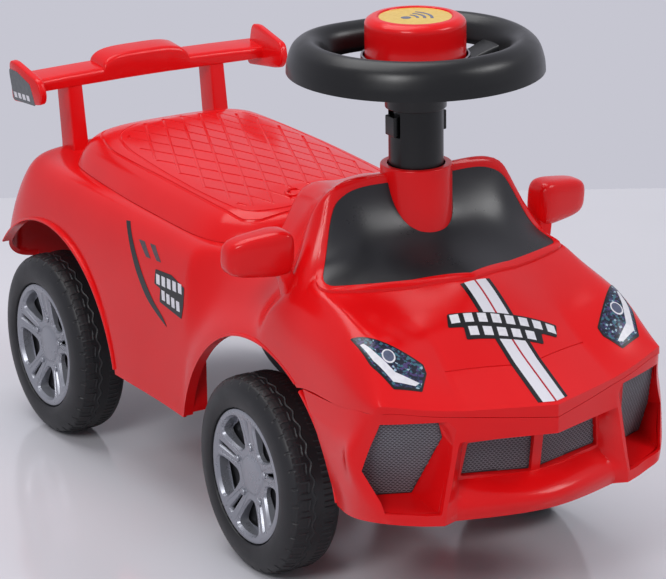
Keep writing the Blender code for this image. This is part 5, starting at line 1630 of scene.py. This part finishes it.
def d_outline(radius, flat):
    """A circle cut by a chord on the rider's side, its corners eased."""
    reach = []
    for k in range(RIM_STEPS):
        toward = math.sin(math.tau * k / RIM_STEPS)
        reach.append(min(radius, flat / toward if toward > 1e-6 else 1e9))
    for _ in range(60):
        reach = [(reach[k - 1] + 2 * reach[k] + reach[(k + 1) % RIM_STEPS]) / 4
                 for k in range(RIM_STEPS)]
    return [polar(r, math.tau * k / RIM_STEPS) for k, r in enumerate(reach)]


TOP_LINE = smooth_loop([(0.0, 357.5), (0.035, 366.0), (0.18, 376.2), (0.50, RIM_HIGH),
                        (0.80, 377.7), (0.97, 368.0), (1.0, 363.0)], 6, closed=False)
UNDER = smooth_loop([(0.91, 363.0), (0.74, 374.5), (0.50, 379.3), (0.26, 373.5), (0.12, 365.0),
                     (0.09, 357.5)], 4, closed=False)
section_line = [(max(s, 0.0), min(z, RIM_HIGH)) for s, z in TOP_LINE] + UNDER
rings = []
for (x1, y1), (x2, y2) in zip(d_outline(90.5, 72.0), d_outline(62.0, 44.0)):
    rings.append([(x1 + (x2 - x1) * s, COLUMN_Y + y1 + (y2 - y1) * s, z)
                  for s, z in section_line])
wheel_rim = loft("steering_wheel_moulding", rings, loop=True, smooth=40)
print("rim faces:", len(wheel_rim.data.polygons))

# %% Cup, spokes and snap tabs
CUP = fillet([
    (38.2, 368.5), (38.2, 353.0), (21.7, 350.5), (21.7, 331.0), (19.75, 331.0), (19.75, 347.0),
    (16.3, 347.0), (16.3, 309.5), (13.8, 309.5), (13.8, 354.2), (36.6, 354.2), (36.6, 368.5)],
    [0.5, 3.0, 2.0, 0.6, 0.3, 0, 0, 0.5, 0.5, 0.5, 1.0, 0.3], 3)
# Distance from the column, half width and top of the sections of a spoke.
SIDE_SPOKE = ((37.3, 13, 361), (43, 12.1, 362), (50, 12, 364), (57, 12.8, 366.4),
              (63.8, 14, 368.5))
RIDER_SPOKE = ((37.3, 13, 361), (41.5, 13.8, 364.5), (46.5, 15, 368.5))


def spoke_section(half, top):
    """A flat section, narrower and rounded at its top."""
    return fillet([(-half, 356.0), (half, 356.0), (half - 2.5, top), (-half + 2.5, top)],
                  [0.5, 0.5, 1.6, 1.6], 3)


joins = [place(turned("cup", CUP, 120), ON_COLUMN)]
for side in (-1, 1):
    joins.append(loft("spoke", [[(side * x, COLUMN_Y + y, z) for y, z in spoke_section(w, top)]
                                for x, w, top in SIDE_SPOKE]))
    low, high = sorted((side * 15.2, side * 21.6))
    tab = fillet([(low, 312.4), (high, 312.4), (high, 326.5), (low, 326.5)], 0.9, 3)
    joins.append(bar_y("tab", tab, COLUMN_Y - 5.5, COLUMN_Y + 5.5))
joins.append(loft("rider_spoke", [[(x, COLUMN_Y + y, z) for x, z in spoke_section(w, top)]
                                  for y, w, top in RIDER_SPOKE]))
carve(wheel_rim, joins, "UNION", smooth=35)
piece(wheel_rim, BLACK, "steering", "black_plastic", "steering_wheel")
lip = fillet([(36.7, 367.9), (38.1, 367.9), (38.1, 368.8), (36.7, 368.8)], 0.3, 3)
piece(place(turned("cup_lip", lip, 120), ON_COLUMN), GREY, "steering", "wheel_grey")
print("steering wheel faces:", len(wheel_rim.data.polygons))

# %% [markdown]
# ## Column and horn
# The column is a black tube with a floor for its screw and two windows that the wheel's tabs
# snap into. The horn is a red cap over a squeaker, with a round sticker. Both are bodies of
# revolution, so a turned profile with its real roundings says more than a bevelled cylinder.

# %% Column
COLUMN = fillet([
    (19.35, 346.0), (19.35, 92.3), (16.6, 92.3), (16.6, 127.5), (2.2, 127.5), (2.2, 136.5),
    (16.6, 136.5), (16.6, 346.0)], [0.6, 0.5, 0.3, 0, 0, 0, 0, 0.3], 3)
WINDOW = fillet([(-8, 311.5), (8, 311.5), (8, 331), (-8, 331)], 1.2, 4)
column = place(turned("steering_column_moulding", COLUMN, 120), ON_COLUMN)
carve(column, [bar_x("windows", [(COLUMN_Y + y, z) for y, z in WINDOW], -30, 30)], smooth=35)
piece(column, BLACK, "steering", "black_plastic", "steering_column")
print("column faces:", len(column.data.polygons))

# %% Horn cap
CAP = [(0, 394.7), (25.9, 394.7), (26.2, 395.3), (26.8, 395.8)]
CAP += fillet([(27.6, 395.9), (31.0, 395.5), (35.4, 392.6), (35.4, 361.6)], [0.8, 3.0, 4.0, 0],
              8, closed=False)[1:]
CAP += [(35.1, 361.0), (33.4, 361.0), (33.2, 361.3), (33.2, 389.0), (29.5, 392.5), (0, 392.5)]
cap = place(turned("horn_cap_moulding", CAP, 160), ON_COLUMN)
piece(cap, RED, "horn", "horn_red", "horn_cap")
print("horn cap faces:", len(cap.data.polygons))

# %% Sticker on the horn
DOT_X, INK_LOW, INK_HIGH = -7.5, 394.95, 395.1


def cap_sticker(name, outline, low, high, mat):
    """A flat print on the cap, its outline drawn about the column."""
    flat = prism(name, [(x, COLUMN_Y + y) for x, y in outline], low, high)
    piece(flat, mat, "horn", "horn_red")


def wave(r):
    """A bent bar: a part of a ring about the dot."""
    half = 1.1
    sweep = np.linspace(math.radians(-38), math.radians(38), 24)
    outer = [(DOT_X + (r + half) * math.cos(a), (r + half) * math.sin(a)) for a in sweep]
    inner = [(DOT_X + (r - half) * math.cos(a), (r - half) * math.sin(a)) for a in sweep]
    return outer + inner[::-1]


cap_sticker("horn_disc", disc(0, 0, 25.4, 96), 394.6, 395.0, INK_YELLOW)
cap_sticker("horn_dot", disc(DOT_X, 0, 3.6, 40), INK_LOW, INK_HIGH, INK_SLATE)
for k, r in enumerate((8.0, 13.0, 18.0)):
    cap_sticker(f"horn_wave_{k + 1}", wave(r), INK_LOW, INK_HIGH, INK_SLATE)
print("horn done")

# %% [markdown]
# ## Solids that stay
# Rods, screws, pins, nuts, the yoke, the tub and the horn's works are plain shapes that are
# mostly hidden. Modelling them twice would add nothing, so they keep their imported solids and
# only get finishes: bright steel, dull black plastic, soft vinyl and a pale washer.

# %% Materials for the solids
# Black polypropylene of the storage tub: a flatter, greyer black than the steering parts.
TUB = moulded("tub_black_polypropylene", "#17181B", "#222327", rough=(0.42, 0.55),
              grain_mm=0.71, depth=0.1)
# Drawn spring steel of the horn's coil: darker than the zinc plate, with tighter highlights.
SPRING = moulded("spring_steel", "#8E9196", "#B4B7BB", rough=(0.18, 0.3), grain_mm=0.2,
                 depth=0.04, metallic=1.0, drift_mm=12.5)
# Moulded soft vinyl of the squeaker bellows: a dull rubbery black.
VINYL = moulded("bellows_vinyl", "#1C1C20", "#2A2A2F", rough=(0.5, 0.62), grain_mm=0.91,
                depth=0.12)
# Moulded acetal of the washer: an even pale grey with a soft sheen.
WASHER = moulded("washer_acetal", "#8C8E94", "#A2A4AA", rough=(0.35, 0.48), grain_mm=0.42,
                 depth=0.06)
STAY = {
    "storage_tub": TUB, "horn_spring": SPRING, "horn_bellows": VINYL, "thrust_washer": WASHER,
    "steering_yoke": BLACK, "rear_axle_mount_left": BLACK, "rear_axle_mount_right": BLACK,
}
METAL = ("screw", "axle", "pin", "nut")
for name, solid in sorted(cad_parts.items()):
    mat = STAY.get(name)
    if mat is None and any(word in name for word in METAL):
        mat = STEEL
    if mat is not None:
        for holder in solid.material_slots:
            holder.link = "OBJECT"
            holder.material = mat
        print(name, "gets", mat.name)
